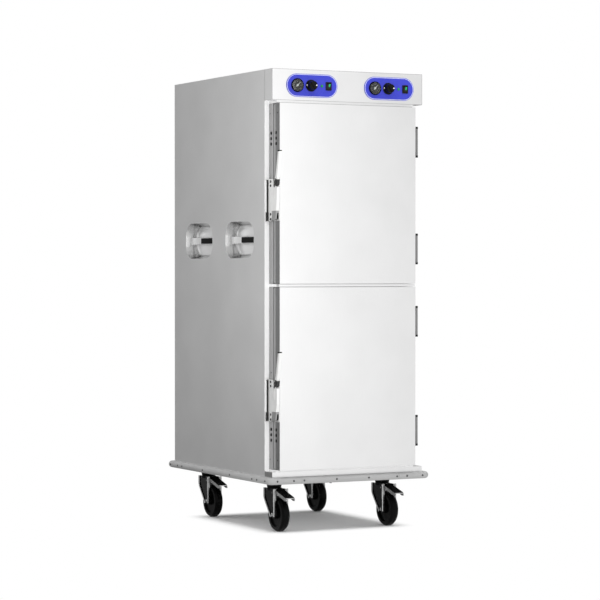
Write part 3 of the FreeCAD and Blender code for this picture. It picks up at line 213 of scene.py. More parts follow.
# Colours, roughness, grain and relief that several sheets share
SATIN = ("#E0E0E0", "#E5E5E5", (0.33, 0.36), (0.5, 0.5, 60), 0.004)
FINISHES = {
    # Sheet steel with a fine upright brush line that softens what it mirrors
    "satin_stainless": finish_of("satin stainless steel", *SATIN, metallic=1.0),
    # The same sheet on the doors, with painted shade: a darker grey on the sideways faces of its folded edges
    "door_sheet": finish_of("satin steel with painted shade on its sides", *SATIN, edge="#858585", metallic=1.0),
    # The same sheet on the base, with painted shade: a darker grey on its sideways ends under the doors
    "base_sheet": finish_of(
        "satin steel with painted shade on its ends", *SATIN, edge="#9C9C9C", ahead=FRAME_Y, metallic=1.0),
    # Steel of the collars round the doorways, duller than the doors and painted a darker grey as painted shade
    "collar_sheet": finish_of(
        "stainless steel darkened as painted shade", "#A1A1A1", "#ADADAD", (0.36, 0.46), (0.5, 0.5, 30), 0.006, metallic=1.0),
    # Frame strips and rails painted white, as painted light on the steel in their recesses: pale, with no clear
    # reflections
    "painted_light_sheet": finish_of(
        "steel painted white as painted light", "#F6F6F6", "#FAFAFA", (0.50, 0.60), (0.6, 0.6, 0.6), 0.01, ior=1.5),
    # Deep drawn cups, half bright with long drawing marks; their floors, which look sideways, are rougher and
    # painted paler as painted light
    "drawn_steel": finish_of(
        "drawn steel", "#CDCDCD", "#D7D7D7", (0.20, 0.24), (12, 1, 12), 0.002, cloud=60.0, edge="#F4F4F4",
        edge_rough=0.38, metallic=1.0),
    # Bright steel with faint wiping marks
    "polished_steel": finish_of(
        "polished stainless steel", "#E3E3E3", "#EEEEEE", (0.18, 0.28), (6, 6, 6), 0.002, metallic=1.0),
    # Tumbled castings of the latches: pale, with soft broad highlights
    "latch_metal": finish_of(
        "tumbled nickel casting", "#F0F0EF", "#F7F7F6", (0.44, 0.52), (1.5, 1.5, 1.5), 0.008, cloud=40.0,
        metallic=1.0),
    # Zinc plate: bright, with a fine uneven bloom
    "zinc_steel": finish_of(
        "bright zinc plated steel", "#AEAEAE", "#C4C4C4", (0.16, 0.30), (2, 2, 2), 0.006, cloud=40.0,
        metallic=1.0),
    # Zinc plated forks whose flat cheeks, between the bright lips, are painted near black as painted shade and
    # dark reflection
    "fork_steel": finish_of(
        "zinc plate with painted shade on its cheeks", "#8D8D8D", "#A1A1A1", (0.16, 0.30), (2, 2, 2), 0.006, cloud=40.0,
        edge="#212122", metallic=1.0),
    # Darkened steel of heating tubes, small screws and hub sleeves: dark grey with a soft shine
    "dark_steel": finish_of(
        "dark satin steel", "#3D3D3D", "#535353", (0.32, 0.45), (1, 1, 8), 0.006, metallic=1.0),
    # Oil blackened bearings over the casters, and the strikes' screws: near black with a weak shine
    "black_oxide": finish_of(
        "oil blackened steel", "#0D0E0E", "#151616", (0.38, 0.5), (1, 1, 1), 0.006, metallic=1.0),
    # Rolled steel of the hinges: a darker grey with a streaky sheen
    "hinge_steel": finish_of(
        "rolled steel", "#7D7D7D", "#8C8C8C", (0.34, 0.44), (1, 1, 8), 0.006, metallic=1.0),
    # Moulded vinyl bumper, matte with a fine skin
    "grey_bumper": finish_of(
        "moulded grey vinyl", "#9D9D9D", "#A5A5A5", (0.42, 0.55), (0.8, 0.8, 0.8), 0.02, ior=1.5),
    # Extruded silicone gasket: a light, dull grey
    "grey_gasket": finish_of(
        "grey silicone rubber", "#C0C0C0", "#CACACA", (0.5, 0.62), (1, 1, 1), 0.02, ior=1.41),
    # Moulded black rubber of grips, plugs and pedal pads: dull, almost without highlights
    "black_rubber": finish_of(
        "black moulded rubber", "#050505", "#090909", (0.5, 0.65), (0.7, 0.7, 0.7), 0.03, ior=1.5,
        specular_ior_level=0.1),
    # Hard rubber tyre with a slight shine on its shoulders
    "black_tyre": finish_of(
        "hard black tyre rubber", "#020202", "#040404", (0.22, 0.32), (1.2, 1.2, 1.2), 0.01, cloud=50.0,
        ior=1.52, specular_ior_level=0.07),
    # Moulded black plastic with a soft sheen
    "black_plastic": finish_of(
        "black moulded plastic", "#080808", "#0F0F10", (0.16, 0.26), (0.5, 0.5, 0.5), 0.005, cloud=30.0,
        ior=1.5, specular_ior_level=0.3),
    # Matte black of the dial faces and their cases
    "dial_black": finish_of(
        "matte black enamel", "#060606", "#0A0A0A", (0.6, 0.7), (1, 1, 1), 0.004, cloud=20.0, ior=1.5,
        specular_ior_level=0.08),
    # Polished black plastic of the knobs, with a soft sheen; their clear highlights are painted highlights, drawn
    # as white strips
    "knob_plastic": finish_of(
        "polished black plastic", "#0A0A0A", "#101010", (0.10, 0.16), (4, 4, 4), 0.002, cloud=30.0,
        ior=1.5, specular_ior_level=0.15),
    # Blue printed panel: a strong even colour with a faint gloss
    "blue_plate": finish_of(
        "blue printed panel", "#383FB4", "#3E45BE", (0.24, 0.32), (1.0, 1.0, 1.0), 0.004, cloud=60.0,
        ior=1.5, specular_ior_level=0.2),
    # Tinted lens of a lit pilot lamp: a deep green that glows a little
    "green_lens": finish_of(
        "green lamp lens", "#0A7232", "#118A40", (0.12, 0.2), (2, 2, 2), 0.01, cloud=10.0, ior=1.49,
        emission_color=linear("#12A046"), emission_strength=0.15),
    # Black rocker with a tinted window in its upper right, lit from inside
    "green_rocker": finish_of(
        "green lit rocker", "#0A8F52", "#1AB06C", (0.12, 0.22), (3, 3, 3), 0.01, cloud=12.0,
        shade="#0A0A0C", ior=1.49, emission_color=linear("#12A55A"), emission_strength=0.3),
    # White painted needles and scale marks, clear against the black, and the knobs' painted highlights
    "white_enamel": finish_of(
        "white enamel", "#EDEDEA", "#F6F6F3", (0.3, 0.4), (1, 1, 1), 0.005, cloud=20.0, ior=1.5),
    # Flat clear glass over the dials, bloomed against glare
    "clear_glass": finish_of(
        "clear glass", "#F2F6F6", "#FAFCFC", (0.0, 0.03), (8, 8, 8), 0.001, cloud=40.0, ior=1.52,
        transmission_weight=1.0, specular_ior_level=0.05),
    # Pressed mineral fibre behind the liner: coarse, dull and straw coloured
    "mineral_board": finish_of(
        "pressed mineral fibre", "#BFAE7E", "#D3C498", (0.85, 0.95), (1.5, 1.5, 1.5), 0.4, ior=1.5),
    # Pale line printed round the blue panels, which sets them off from the steel
    "pale_print": finish_of(
        "pale printed border", "#D2D4EE", "#DEE0F4", (0.28, 0.36), (1, 1, 1), 0.003, cloud=60.0, ior=1.5),
}

# Nodes with a finish of their own within their slot
OWN_FINISH = {
    "front_frame": "painted_light_sheet",
    "base_frame": "base_sheet",
    "door_collars": "collar_sheet",
    "caster_mounts": "black_oxide",
    "hinge_fixed_leaves": "hinge_steel",
    "latch_strikes": "latch_metal",
    "thermometer_cases": "dial_black",
}
for name in DOORS:
    OWN_FINISH[name + "_door_shell"] = "door_sheet"
    OWN_FINISH[name + "_door_hinge_leaves"] = "hinge_steel"
    OWN_FINISH[name + "_latch_body"] = "latch_metal"
    OWN_FINISH[name + "_latch_lever"] = "latch_metal"
for side in PLATES:
    OWN_FINISH[side + "_knob"] = "knob_plastic"
for corner in CORNERS:
    OWN_FINISH[corner + "_fork"] = "fork_steel"
for row in frame["record"]["subparts"]:
    data = frame["nodes"][row["node"]].data
    data.materials.clear()
    data.materials.append(FINISHES[OWN_FINISH.get(row["node"], row["material_slot"])])

# Tools for small pieces: points closer than WELD become one, edges sharper than CRISP_ANGLE stay crisp, and
# a fastener's foot lies SUNK under its surface
WELD = 0.001
CRISP_ANGLE = 35.0
SUNK = 0.3
LEFT = (-1, 0, 0)
RIGHT = (1, 0, 0)
FRONT = (0, -1, 0)
REAR = (0, 1, 0)


def piece(name, bm, slot, body, finish=None):
    # A finished piece in the row's frame, from a bmesh in millimetres
    bmesh.ops.remove_doubles(bm, verts=bm.verts, dist=WELD)
    bmesh.ops.recalc_face_normals(bm, faces=bm.faces)
    bmesh.ops.scale(bm, vec=(MM, MM, MM), verts=bm.verts)
    mesh = bpy.data.meshes.new(name)
    bm.to_mesh(mesh)
    bm.free()
    mesh.materials.append(FINISHES[finish or slot])
    for face in mesh.polygons:
        face.use_smooth = True
    mesh.set_sharp_from_angle(angle=math.radians(CRISP_ANGLE))
    made = bpy.data.objects.new(name, mesh)
    scene.collection.objects.link(made)
    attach(made, body)


def bridge(bm, low, high):
    # A band of faces between two closed rows of points
    for i in range(len(low)):
        bm.faces.new((low[i - 1], low[i], high[i], high[i - 1]))


def circle(bm, centre, across, up, radii):
    # A closed row of points round a centre, one for each radius
    row = []
    for i, radius in enumerate(radii):
        turn = 2 * math.pi * i / len(radii)
        sideways = across * (radius * math.cos(turn))
        row.append(bm.verts.new(centre + sideways + up * (radius * math.sin(turn))))
    return row


def rings(bm, centre, normal, profile, steps=16, hollow=False):
    # A turned shape from rows of (radius, height); a pair of radii makes a star, hollow makes a closed ring
    out = Vector(normal)
    across = Vector((0, 0, 1)).cross(out) if out.z == 0 else Vector((1, 0, 0)).cross(out)
    up = out.cross(across)
    rows = []
    for radius, height in profile:
        pair = radius if isinstance(radius, tuple) else (radius, radius)
        radii = [pair[(i // 2) % 2] for i in range(steps)]
        rows.append(circle(bm, Vector(centre) + out * height, across, up, radii))
    if hollow:
        rows.append(rows[0])
    for low, high in zip(rows, rows[1:]):
        bridge(bm, low, high)
    if not hollow:
        bm.faces.new(rows[0])
        bm.faces.new(rows[-1])


def screw(bm, centre, normal, radius, height):
    # A pan head with a cross recess, in shares of its radius and height
    recess = (radius * 0.5, radius * 0.16)
    profile = [(radius, -SUNK), (radius, height * 0.35), (radius * 0.8, height * 0.85),
               (radius * 0.56, height), (recess, height), (recess, height * 0.4)]
    rings(bm, centre, normal, profile)


def strip(bm, points, thickness, direction):
    # A flat outline given thickness
    shift = Vector(direction) * thickness
    low = [bm.verts.new(Vector(p)) for p in points]
    high = [bm.verts.new(Vector(p) + shift) for p in points]
    bm.faces.new(low)
    bm.faces.new(high)
    bridge(bm, low, high)


def facing(bm, x0, x1, y, z0, z1, proud):
    # A flat strip on a front surface
    strip(bm, [(x0, y, z0), (x1, y, z0), (x1, y, z1), (x0, y, z1)], proud, FRONT)


def slab(bm, x0, x1, outline):
    # An outline of (y, z) points given thickness from x0 to x1
    strip(bm, [(x0, y, z) for y, z in outline], x1 - x0, RIGHT)


def shifted(outline, y, z):
    return [(y + along, z + up) for along, up in outline]


def arc(centre, radius, start, end, count):
    # Points along a round stretch, between two angles in degrees
    turns = [math.radians(start + (end - start) * i / count) for i in range(count + 1)]
    return [(centre[0] + radius * math.cos(turn), centre[1] + radius * math.sin(turn)) for turn in turns]


def bead(bm, points, radius, steps=12):
    # A round bar along a path in a plane across X
    side = Vector((1, 0, 0))
    rows = []
    for i, point in enumerate(points):
        back = Vector(points[max(i - 1, 0)])
        onward = Vector(points[min(i + 1, len(points) - 1)])
        along = (onward - back).normalized()
        rows.append(circle(bm, Vector(point), side, along.cross(side), [radius] * steps))
    for low, high in zip(rows, rows[1:]):
        bridge(bm, low, high)
    bm.faces.new(rows[0])
    bm.faces.new(rows[-1])


# Screw heads as (radius, height)
PAN_HEAD = (3.6, 1.4)
STRIKE_HEAD = (5.0, 1.4)
SMALL_HEAD = (2.4, 0.8)

# Bumper screws on the nose, three by each corner and two between: front and rear, then both sides
FRONT_ENDS = (10.0, 77.0, 120.0)
FRONT_MIDDLES = (-60.0, 75.0)
SIDE_ENDS = (12.0, 80.0, 122.0)
SIDE_MIDDLES = (-110.0, 136.0)
bm = bmesh.new()
for x in [end - HALF for end in FRONT_ENDS] + [HALF - end for end in FRONT_ENDS] + list(FRONT_MIDDLES):
    screw(bm, (x, bumper_low[1], BUMPER_Z), FRONT, *PAN_HEAD)
    screw(bm, (x, bumper_high[1], BUMPER_Z), REAR, *PAN_HEAD)
for y in [HEADER_Y + end for end in SIDE_ENDS] + [REAR_Y - end for end in SIDE_ENDS] + list(SIDE_MIDDLES):
    screw(bm, (bumper_low[0], y, BUMPER_Z), LEFT, *PAN_HEAD)
    screw(bm, (bumper_high[0], y, BUMPER_Z), RIGHT, *PAN_HEAD)
piece("bumper_screws", bm, "dark_steel", "cabinet")

# Screws of the strikes, above and below the hubs
STRIKE_SCREW_Y = FRAME_Y - 31.5
STRIKE_SCREWS = (4.0, -11.0, -116.0, -134.0)
bm = bmesh.new()
for hub in HUBS.values():
    for up in STRIKE_SCREWS:
        screw(bm, (STRIKE_X, STRIKE_SCREW_Y, hub + up), LEFT, *STRIKE_HEAD)
piece("strike_screws", bm, "dark_steel", "cabinet", "black_oxide")

# Plugs in the spare hinge holes and small end screws, on the collars and on the doors' edges
PLUG = [(6.4, -SUNK), (6.4, 0.5), (5.4, 0.9), (2.2, 0.9)]
PLUG_PITCH = 20.0
PLUG_ROWS = {"upper": HINGES[-1] + 2.0, "lower": HINGES[0] - 3.0}
END_SCREW_INSET = 36.0
END_SCREWS = {"upper": DOORS["upper"][1] - END_SCREW_INSET, "lower": DOORS["lower"][0] + END_SCREW_INSET}
LONE_SCREW_Z = HUBS["lower"] + 37.0
collar_line = (COLLAR_Y + FRAME_Y) / 2
collar_screw_line = collar_line + 9.0
door_line = (DOOR_Y + DOOR_BACK) / 2
door_plug_line = door_line + 12.0


def plug_row(bm, y, centre):
    for step in (-1, 0, 1):
        rings(bm, (DOOR_X0, y, centre + step * PLUG_PITCH), LEFT, PLUG)


plugs = bmesh.new()
screws = bmesh.new()
for name in DOORS:
    plug_row(plugs, collar_line, PLUG_ROWS[name])
    screw(screws, (DOOR_X0, collar_screw_line, END_SCREWS[name]), LEFT, *SMALL_HEAD)
screw(screws, (DOOR_X0, collar_line, LONE_SCREW_Z), LEFT, *SMALL_HEAD)
piece("collar_plugs", plugs, "black_rubber", "cabinet")
piece("collar_screws", screws, "dark_steel", "cabinet")
for name in DOORS:
    bm = bmesh.new()
    plug_row(bm, door_plug_line, PLUG_ROWS[name])
    piece(name + "_door_plugs", bm, "black_rubber", name + "_door")
    bm = bmesh.new()
    screw(bm, (DOOR_X0, door_line, END_SCREWS[name]), LEFT, *SMALL_HEAD)
    piece(name + "_door_screw", bm, "dark_steel", name + "_door")

# Black caps on the ends of the hinge barrels
HINGE_CAP = [(5.8, 0.0), (5.8, 6.0), (5.2, 7.4), (3.4, 7.9)]
cap_foot = HINGE_HEIGHT / 2 - HINGE_CAP[-1][1]
bm = bmesh.new()
for centre in HINGES:
    for sign in (-1, 1):
        rings(bm, (*HINGE, centre + sign * cap_foot), (0, 0, sign), HINGE_CAP, steps=24)
piece("hinge_caps", bm, "black_plastic", "cabinet")

# Latches: a dark sleeve and cap on each hub and a pale tab behind it. Painted shade: a grey foot with a black
# patch at the foot of the cover, and a black cap on each lever's tip. The outlines are (y, z) from the hub, the
# tip cap's from the tip, and the sleeve leans with its lever
SLEEVE = [(6.0, 13.0), (-13.0, 13.0), (-13.0, -5.0), (-11.0, -9.0), (-5.0, -12.6), (6.0, -11.5)]
HUB_CAP = [(8.0, -0.1), (8.0, 1.3), (7.2, 2.0), (5.0, 2.0)]
TAB = [(28.2, -60.0), (28.2, 8.0), (25.5, 12.0), (17.5, 12.0), (14.3, 8.0), (14.3, -15.0), (9.5, -22.0),
       (9.5, -60.0)]
# The grey foot of painted shade, and in it the black patch of painted shade
SHADED_FOOT_ROUND = 9.0
SHADED_FOOT_LOW = -138.9
SHADED_FOOT = [(28.4, SHADED_FOOT_LOW), (28.4, -104.0), (-5.7, -104.0)]
SHADED_FOOT += arc((SHADED_FOOT_ROUND, SHADED_FOOT_LOW + SHADED_FOOT_ROUND), SHADED_FOOT_ROUND, 180, 270, 4)
SHADE_PATCH = [(-4.7, -112.0), (-0.8, -130.0), (-0.1, -134.0), (2.5, -134.0), (2.5, -112.0)]
# The black cap of painted shade on the lever's tip
TIP_SHADE = [(-0.6, -3.6), (-0.6, -1.6), (1.6, 0.6), (9.8, 0.6), (11.6, -1.6), (12.4, -5.2)]
SLEEVE_LEFT = LEVER_X0 - 0.4
lean = Matrix.Rotation(LEVER_LEAN, 2)
leant = [tuple(lean @ Vector(point)) for point in SLEEVE]
tip_shade_at_hub = shifted(TIP_SHADE, TIP_Y - HUB_Y, TIP_RISE)

# The other latch pieces as (name, slot, finish, body, left x, right x, outline)
LATCH_PIECES = (
    ("_latch_tab", "polished_steel", "latch_metal", "_door", LEVER_X0 - 1.2, LEVER_X0 + 0.1, TAB),
    # Grey foot and black patch of painted shade at the cover's foot
    ("_latch_shaded_foot", "polished_steel", "collar_sheet", "_door", LEVER_X0 - 0.4, LEVER_X1 + 0.3, SHADED_FOOT),
    ("_latch_shade_patch", "black_rubber", "black_rubber", "_door", LEVER_X1 - 5.0, LEVER_X1 + 0.6, SHADE_PATCH),
    # Black cap of painted shade on the lever's tip
    ("_lever_tip_shade", "black_rubber", "black_rubber", "_lever", LEVER_X0 - 0.5, LEVER_X1 + 0.3, tip_shade_at_hub),
)
for name, hub in HUBS.items():
    bm = bmesh.new()
    slab(bm, SLEEVE_LEFT, LEVER_X1, shifted(leant, HUB_Y, hub))
    rings(bm, (SLEEVE_LEFT, HUB_Y, hub), LEFT, HUB_CAP, steps=32)
    piece(name + "_hub_band", bm, "dark_steel", name + "_lever")
    for part, slot, finish, body, left, right, outline in LATCH_PIECES:
        bm = bmesh.new()
        slab(bm, left, right, shifted(outline, HUB_Y, hub))
        piece(name + part, bm, slot, name + body, finish)

# Controls: ticks and numbers on each dial and a ring on its needle's hub; a tick is (inner radius, width)
DIAL_PROUD = 1.0
DIAL_START = -135.0
DIAL_SWEEP = 270.0
TICK_COUNT = 24
TICKS_PER_NUMBER = 4
NUMBER_STEP = 20
NUMBER_RADIUS = 14.2
NUMBER_HEIGHT = 2.2
NUMBER_RAISE = 0.1
TICK_OUTER = 20.2
LONG_TICK = (17.4, 0.45)
SHORT_TICK = (18.8, 0.2)
PRINT_THICKNESS = 0.15
NEEDLE_RING = [(1.2, 0.0), (3.7, 0.0), (3.5, 0.7), (1.2, 0.9)]
NEEDLE_RING_PROUD = 2.7

# Painted highlights on the knobs: white strips on skirt and crown as (angle, inner radius, outer radius,
# width), and how far each stands out
SKIRT_HIGHLIGHT = (-85.0, 17.9, 19.9, 6.0)
CROWN_HIGHLIGHT = (88.0, 9.8, 14.4, 4.2)
SKIRT_PROUD = 5.5
CROWN_PROUD = 24.0


def around(centre, angle, radius):
    # A point of a dial, clockwise from the top
    turn = math.radians(angle)
    return Vector((centre[0] + radius * math.sin(turn), centre[1], centre[2] + radius * math.cos(turn)))


def radial_strip(bm, centre, angle, inner, outer, width):
    turn = math.radians(angle)
    side = Vector((math.cos(turn), 0, -math.sin(turn))) * (width / 2)
    low = around(centre, angle, inner)
    high = around(centre, angle, outer)
    strip(bm, [low - side, low + side, high + side, high - side], PRINT_THICKNESS, FRONT)


def number(bm, text, centre):
    # A number printed flat on a dial face
    curve = bpy.data.curves.new("number", "FONT")
    curve.body = text
    curve.size = NUMBER_HEIGHT
    curve.align_x = "CENTER"
    curve.align_y = "CENTER"
    curve.extrude = NUMBER_RAISE
    holder = bpy.data.objects.new("number", curve)
    mesh = bpy.data.meshes.new_from_object(holder)
    mesh.transform(Matrix.Translation(Vector(centre)) @ Matrix.Rotation(math.radians(90), 4, "X"))
    bm.from_mesh(mesh)
    bpy.data.objects.remove(holder)
    bpy.data.curves.remove(curve)
    bpy.data.meshes.remove(mesh)


def stadium(centre, inset):
    # The outline of a control plate, drawn in by inset
    reach = PLATE_LENGTH / 2 - PLATE_RADIUS
    right = arc((centre + reach, PLATE_Z), PLATE_RADIUS - inset, -90, 90, 24)
    left = arc((centre - reach, PLATE_Z), PLATE_RADIUS - inset, 90, 270, 24)
    return right + left


# Plate borders as (name, finish, outer inset, inner inset)
BORDERS = (("_plate_rim", "blue_plate", -2.8, -0.9), ("_plate_border", "pale_print", -0.9, 0.8))
BORDER_PROUD = 0.25
border_y = PLATE_Y - BORDER_PROUD
for side, centre in PLATES.items():
    for name, finish, outer, inner in BORDERS:
        bm = bmesh.new()
        loops = []
        for inset, y in ((outer, HEADER_Y), (outer, border_y), (inner, border_y), (inner, HEADER_Y)):
            loops.append([bm.verts.new((x, y, z)) for x, z in stadium(centre, inset)])
        for low, high in zip(loops, loops[1:] + loops[:1]):
            bridge(bm, low, high)
        piece(side + name, bm, "blue_plate", "cabinet", finish)

    dial_x, _, dial_z = pivot(side + "_needle_turn")
    dial = (dial_x, PLATE_Y - DIAL_PROUD, dial_z)
    bm = bmesh.new()
    for i in range(TICK_COUNT + 1):
        angle = DIAL_START + DIAL_SWEEP * i / TICK_COUNT
        if i % TICKS_PER_NUMBER == 0:
            radial_strip(bm, dial, angle, LONG_TICK[0], TICK_OUTER, LONG_TICK[1])
            number(bm, str(NUMBER_STEP * i // TICKS_PER_NUMBER), around(dial, angle, NUMBER_RADIUS))
        else:
            radial_strip(bm, dial, angle, SHORT_TICK[0], TICK_OUTER, SHORT_TICK[1])
    piece(side + "_dial_marks", bm, "white_enamel", "cabinet")
    bm = bmesh.new()
    rings(bm, (dial_x, PLATE_Y - NEEDLE_RING_PROUD, dial_z), FRONT, NEEDLE_RING, steps=24, hollow=True)
    piece(side + "_needle_ring", bm, "white_enamel", side + "_needle")

    knob_x, _, knob_z = pivot(side + "_knob_turn")
    # White strips painted as highlights on each knob
    bm = bmesh.new()
    radial_strip(bm, (knob_x, PLATE_Y - SKIRT_PROUD, knob_z), *SKIRT_HIGHLIGHT)
    radial_strip(bm, (knob_x, PLATE_Y - CROWN_PROUD, knob_z), *CROWN_HIGHLIGHT)
    piece(side + "_knob_painted_highlights", bm, "white_enamel", side + "_knob")

# Brake pedals: ribbed rubber pads on the treads; places are (y from the kingpin, z)
TREAD_TOP = (-38.0, 156.7)
TREAD_TIP = (-132.0, 131.0)
PAD_HALF = 17.6
PAD_THICKNESS = 1.4
RIB_COUNT = 9
RIB_HALF = 17.0
RIB_THICKNESS = 2.6
RIB_STRETCH = (0.1, 0.8)
run = Vector((0, TREAD_TIP[0] - TREAD_TOP[0], TREAD_TIP[1] - TREAD_TOP[1]))
tread_up = run.cross(Vector((1, 0, 0))).normalized()


def tread_bar(bm, low, high, half, thickness):
    # A flat bar across the tread between two points of its run
    side = Vector((half, 0, 0))
    strip(bm, [low - side, low + side, high + side, high - side], thickness, tread_up)


for corner, (x, y) in KINGPINS.items():
    start = Vector((x, y + TREAD_TOP[0], TREAD_TOP[1]))
    bm = bmesh.new()
    for i in range(RIB_COUNT):
        low, high = (start + run * ((i + share) / RIB_COUNT) for share in RIB_STRETCH)
        tread_bar(bm, low, high, RIB_HALF, RIB_THICKNESS)
    tread_bar(bm, start, start + run, PAD_HALF, PAD_THICKNESS)
    piece(corner + "_pedal_pad", bm, "black_rubber", corner + "_pedal")

# Rear rims and front lips of the fork legs, rolled outward to a bead, and the washers on the axle's ends
LIP_WIDTH = 9.0
LIP_BEAD = 3.4
LIP_FOOT_DROP = 7.5
LIP_HEAD_DROP = 2.0
FORK_GAUGE = 3.0
FORK_BEND = 26.0
LEG_SLOPE = 39.2
BEND_Z = 132.3
RIM_BEAD = 3.0
RIM_HEAD_DROP = 0.5
RIM_FOOT = [(-24.0, 53.0), (-20.0, 56.9)]
AXLE_HEAD = 6.0
WASHER = [(6.6, -0.1), (6.6, 1.0), (5.0, 2.0), (2.0, 2.4)]
for corner, (x, y) in KINGPINS.items():
    fork_low, fork_high = span(corner + "_fork")
    leg = (fork_high[0] - fork_low[0]) / 2 - LIP_WIDTH
    back = fork_high[1] - y
    rim = RIM_FOOT + arc((back - FORK_BEND, BEND_Z), FORK_BEND, -LEG_SLOPE, 0, 3)
    rim.append((back, fork_high[2] - RIM_HEAD_DROP))
    lip_y = fork_low[1] + FORK_GAUGE / 2
    _, axle_y, axle_z = pivot(corner + "_roll")
    bm = bmesh.new()
    for sign in (-1, 1):
        bead(bm, [(x + sign * (leg + RIM_BEAD), y + along, z) for along, z in rim], RIM_BEAD)
        lip_x = x + sign * (leg + LIP_WIDTH / 2)
        lip_ends = (axle_z - LIP_FOOT_DROP, fork_high[2] - LIP_HEAD_DROP)
        bead(bm, [(lip_x, lip_y, z) for z in lip_ends], LIP_BEAD)
        rings(bm, (x + sign * (leg + AXLE_HEAD), axle_y, axle_z), (sign, 0, 0), WASHER)
    piece(corner + "_fork_rims", bm, "zinc_steel", corner + "_caster")

# Hexagon bolts of the caster plates
BOLT_ACROSS = 42.0
BOLT_ALONG = 34.0
BOLT_HEAD = [(6.5, -SUNK), (6.5, 4.25), (5.72, 5.0)]
bm = bmesh.new()
for x, y in KINGPINS.values():
    for across in (-BOLT_ACROSS, BOLT_ACROSS):
        for along in (-BOLT_ALONG, BOLT_ALONG):
            rings(bm, (x + across, y + along, MOUNT_FOOT), (0, 0, -1), BOLT_HEAD, steps=6)
piece("caster_bolts", bm, "zinc_steel", "cabinet")

# Steel returns on the outer edges of the packings, which are wider at their foot
PACKING_STEP = 3.0
RETURN_DEPTH = 8.3
RETURN_GAUGE = 0.6
packing_foot = packing_low[2] - HUBS["lower"]
PACKING_WAIST = -108.0
packing_head = packing_high[2] - HUBS["upper"]
RETURNS = (
    (packing_low[0] + PACKING_STEP, PACKING_WAIST, packing_head),
    (packing_low[0], packing_foot, PACKING_WAIST),
)
bm = bmesh.new()
for hub in HUBS.values():
    for x, low, high in RETURNS:
        edge = [(-RETURN_DEPTH, low), (0, low), (0, high), (-RETURN_DEPTH, high)]
        slab(bm, x - RETURN_GAUGE, x, shifted(edge, FRAME_Y, hub))
piece("packing_returns", bm, "satin_stainless", "cabinet")

# Steel facings of the rails over and between the doors
OVER_GAP = 1.2
OVER_PROUD = 0.8
BETWEEN_GAP = 1.5
BETWEEN_PROUD = 22.0
HAIRLINE = 0.1
rail_foot = DOORS["upper"][1] + OVER_GAP
between_foot = DOORS["lower"][1] + BETWEEN_GAP
between_head = DOORS["upper"][0] - BETWEEN_GAP
bm = bmesh.new()
facing(bm, DOOR_X0, DOOR_X1, RAIL_Y, rail_foot, HEADER_FOOT - HAIRLINE, OVER_PROUD)
facing(bm, DOOR_X0, DOOR_X1, RAIL_Y, between_foot, between_head, BETWEEN_PROUD)
piece("rail_facings", bm, "satin_stainless", "cabinet")

# Painted shade lines: thin grey strips round the header and along the foot of the rail over the doors
SHADE_LINE_PROUD = 0.25
END_SHADE_LINE = 1.2
RAIL_SHADE_LINE = 2.2
HEADER_SHADE_LINE = 1.4
top_shade_line = HEADER_TOP - HEADER_SHADE_LINE
foot_shade_line = HEADER_FOOT + HEADER_SHADE_LINE
bm = bmesh.new()
facing(bm, -HALF, HALF, HEADER_Y, top_shade_line, HEADER_TOP - HAIRLINE, SHADE_LINE_PROUD)
facing(bm, -HALF, HALF, HEADER_Y, HEADER_FOOT + 2 * HAIRLINE, foot_shade_line, SHADE_LINE_PROUD)
facing(bm, -HALF, END_SHADE_LINE - HALF, HEADER_Y, foot_shade_line, top_shade_line, SHADE_LINE_PROUD)
facing(bm, HALF - END_SHADE_LINE, HALF, HEADER_Y, foot_shade_line, top_shade_line, SHADE_LINE_PROUD)
facing(bm, DOOR_X0, DOOR_X1, RAIL_Y - OVER_PROUD, rail_foot, rail_foot + RAIL_SHADE_LINE, SHADE_LINE_PROUD)
piece("header_shade_lines", bm, "satin_stainless", "cabinet", "collar_sheet")

# Screws round the rear panel: rows along its foot and top, columns up its sides
REAR_INSET = 15.0
REAR_FOOT_INSET = 13.0
COLUMN_FOOT = 480.0
COLUMN_PITCH = 250.0
COLUMN_COUNT = 5
rear_x = HALF - REAR_INSET
rear_screws = []
for share in (-1, -1 / 3, 1 / 3, 1):
    rear_screws.append((rear_x * share, PANEL_FOOT + REAR_FOOT_INSET))
    rear_screws.append((rear_x * share, HEADER_TOP - REAR_INSET))
for i in range(COLUMN_COUNT):
    rear_screws += [(sign * rear_x, COLUMN_FOOT + COLUMN_PITCH * i) for sign in (-1, 1)]
bm = bmesh.new()
for x, z in rear_screws:
    screw(bm, (x, REAR_Y, z), REAR, *PAN_HEAD)
piece("rear_panel_screws", bm, "zinc_steel", "cabinet")

# Studio floor, in metres: white, matte under the cabinet for its shadow, and glowing around it. Beside and
# behind the cabinet it glows less than in front, but the camera sees it white everywhere
WHITE = linear("#FFFFFF")
FLOOR_HALF = 30.0
SHADOW_SHIFT = (0.0, 0.018, 0.0)
SHADOW_HALF = (0.225, 0.285, 0.0)
SHADOW_FADE = (0.0, 0.12)
GLOW_ALONG = (-0.5, 0.1)
GLOW_LEVELS = (1.0, 0.30)
floor_material = bpy.data.materials.new("white studio floor")
tree = new_tree(floor_material)
where = add(tree, "ShaderNodeNewGeometry").outputs["Position"]
middle = add(tree, "ShaderNodeVectorMath", {0: where, 1: SHADOW_SHIFT}, operation="ADD")
outside = add(tree, "ShaderNodeVectorMath", {0: middle.outputs[0]}, operation="ABSOLUTE")
outside = add(tree, "ShaderNodeVectorMath", {0: outside.outputs[0], 1: SHADOW_HALF}, operation="SUBTRACT")
outside = add(tree, "ShaderNodeVectorMath", {0: outside.outputs[0], 1: (0.0, 0.0, 0.0)}, operation="MAXIMUM")
far = add(tree, "ShaderNodeVectorMath", {0: outside.outputs[0]}, operation="LENGTH").outputs["Value"]
fade = mapped(tree, far, SHADOW_FADE, interpolation_type="SMOOTHSTEP")
along = add(tree, "ShaderNodeSeparateXYZ", {"Vector": where}).outputs["Y"]
rays = add(tree, "ShaderNodeLightPath").outputs
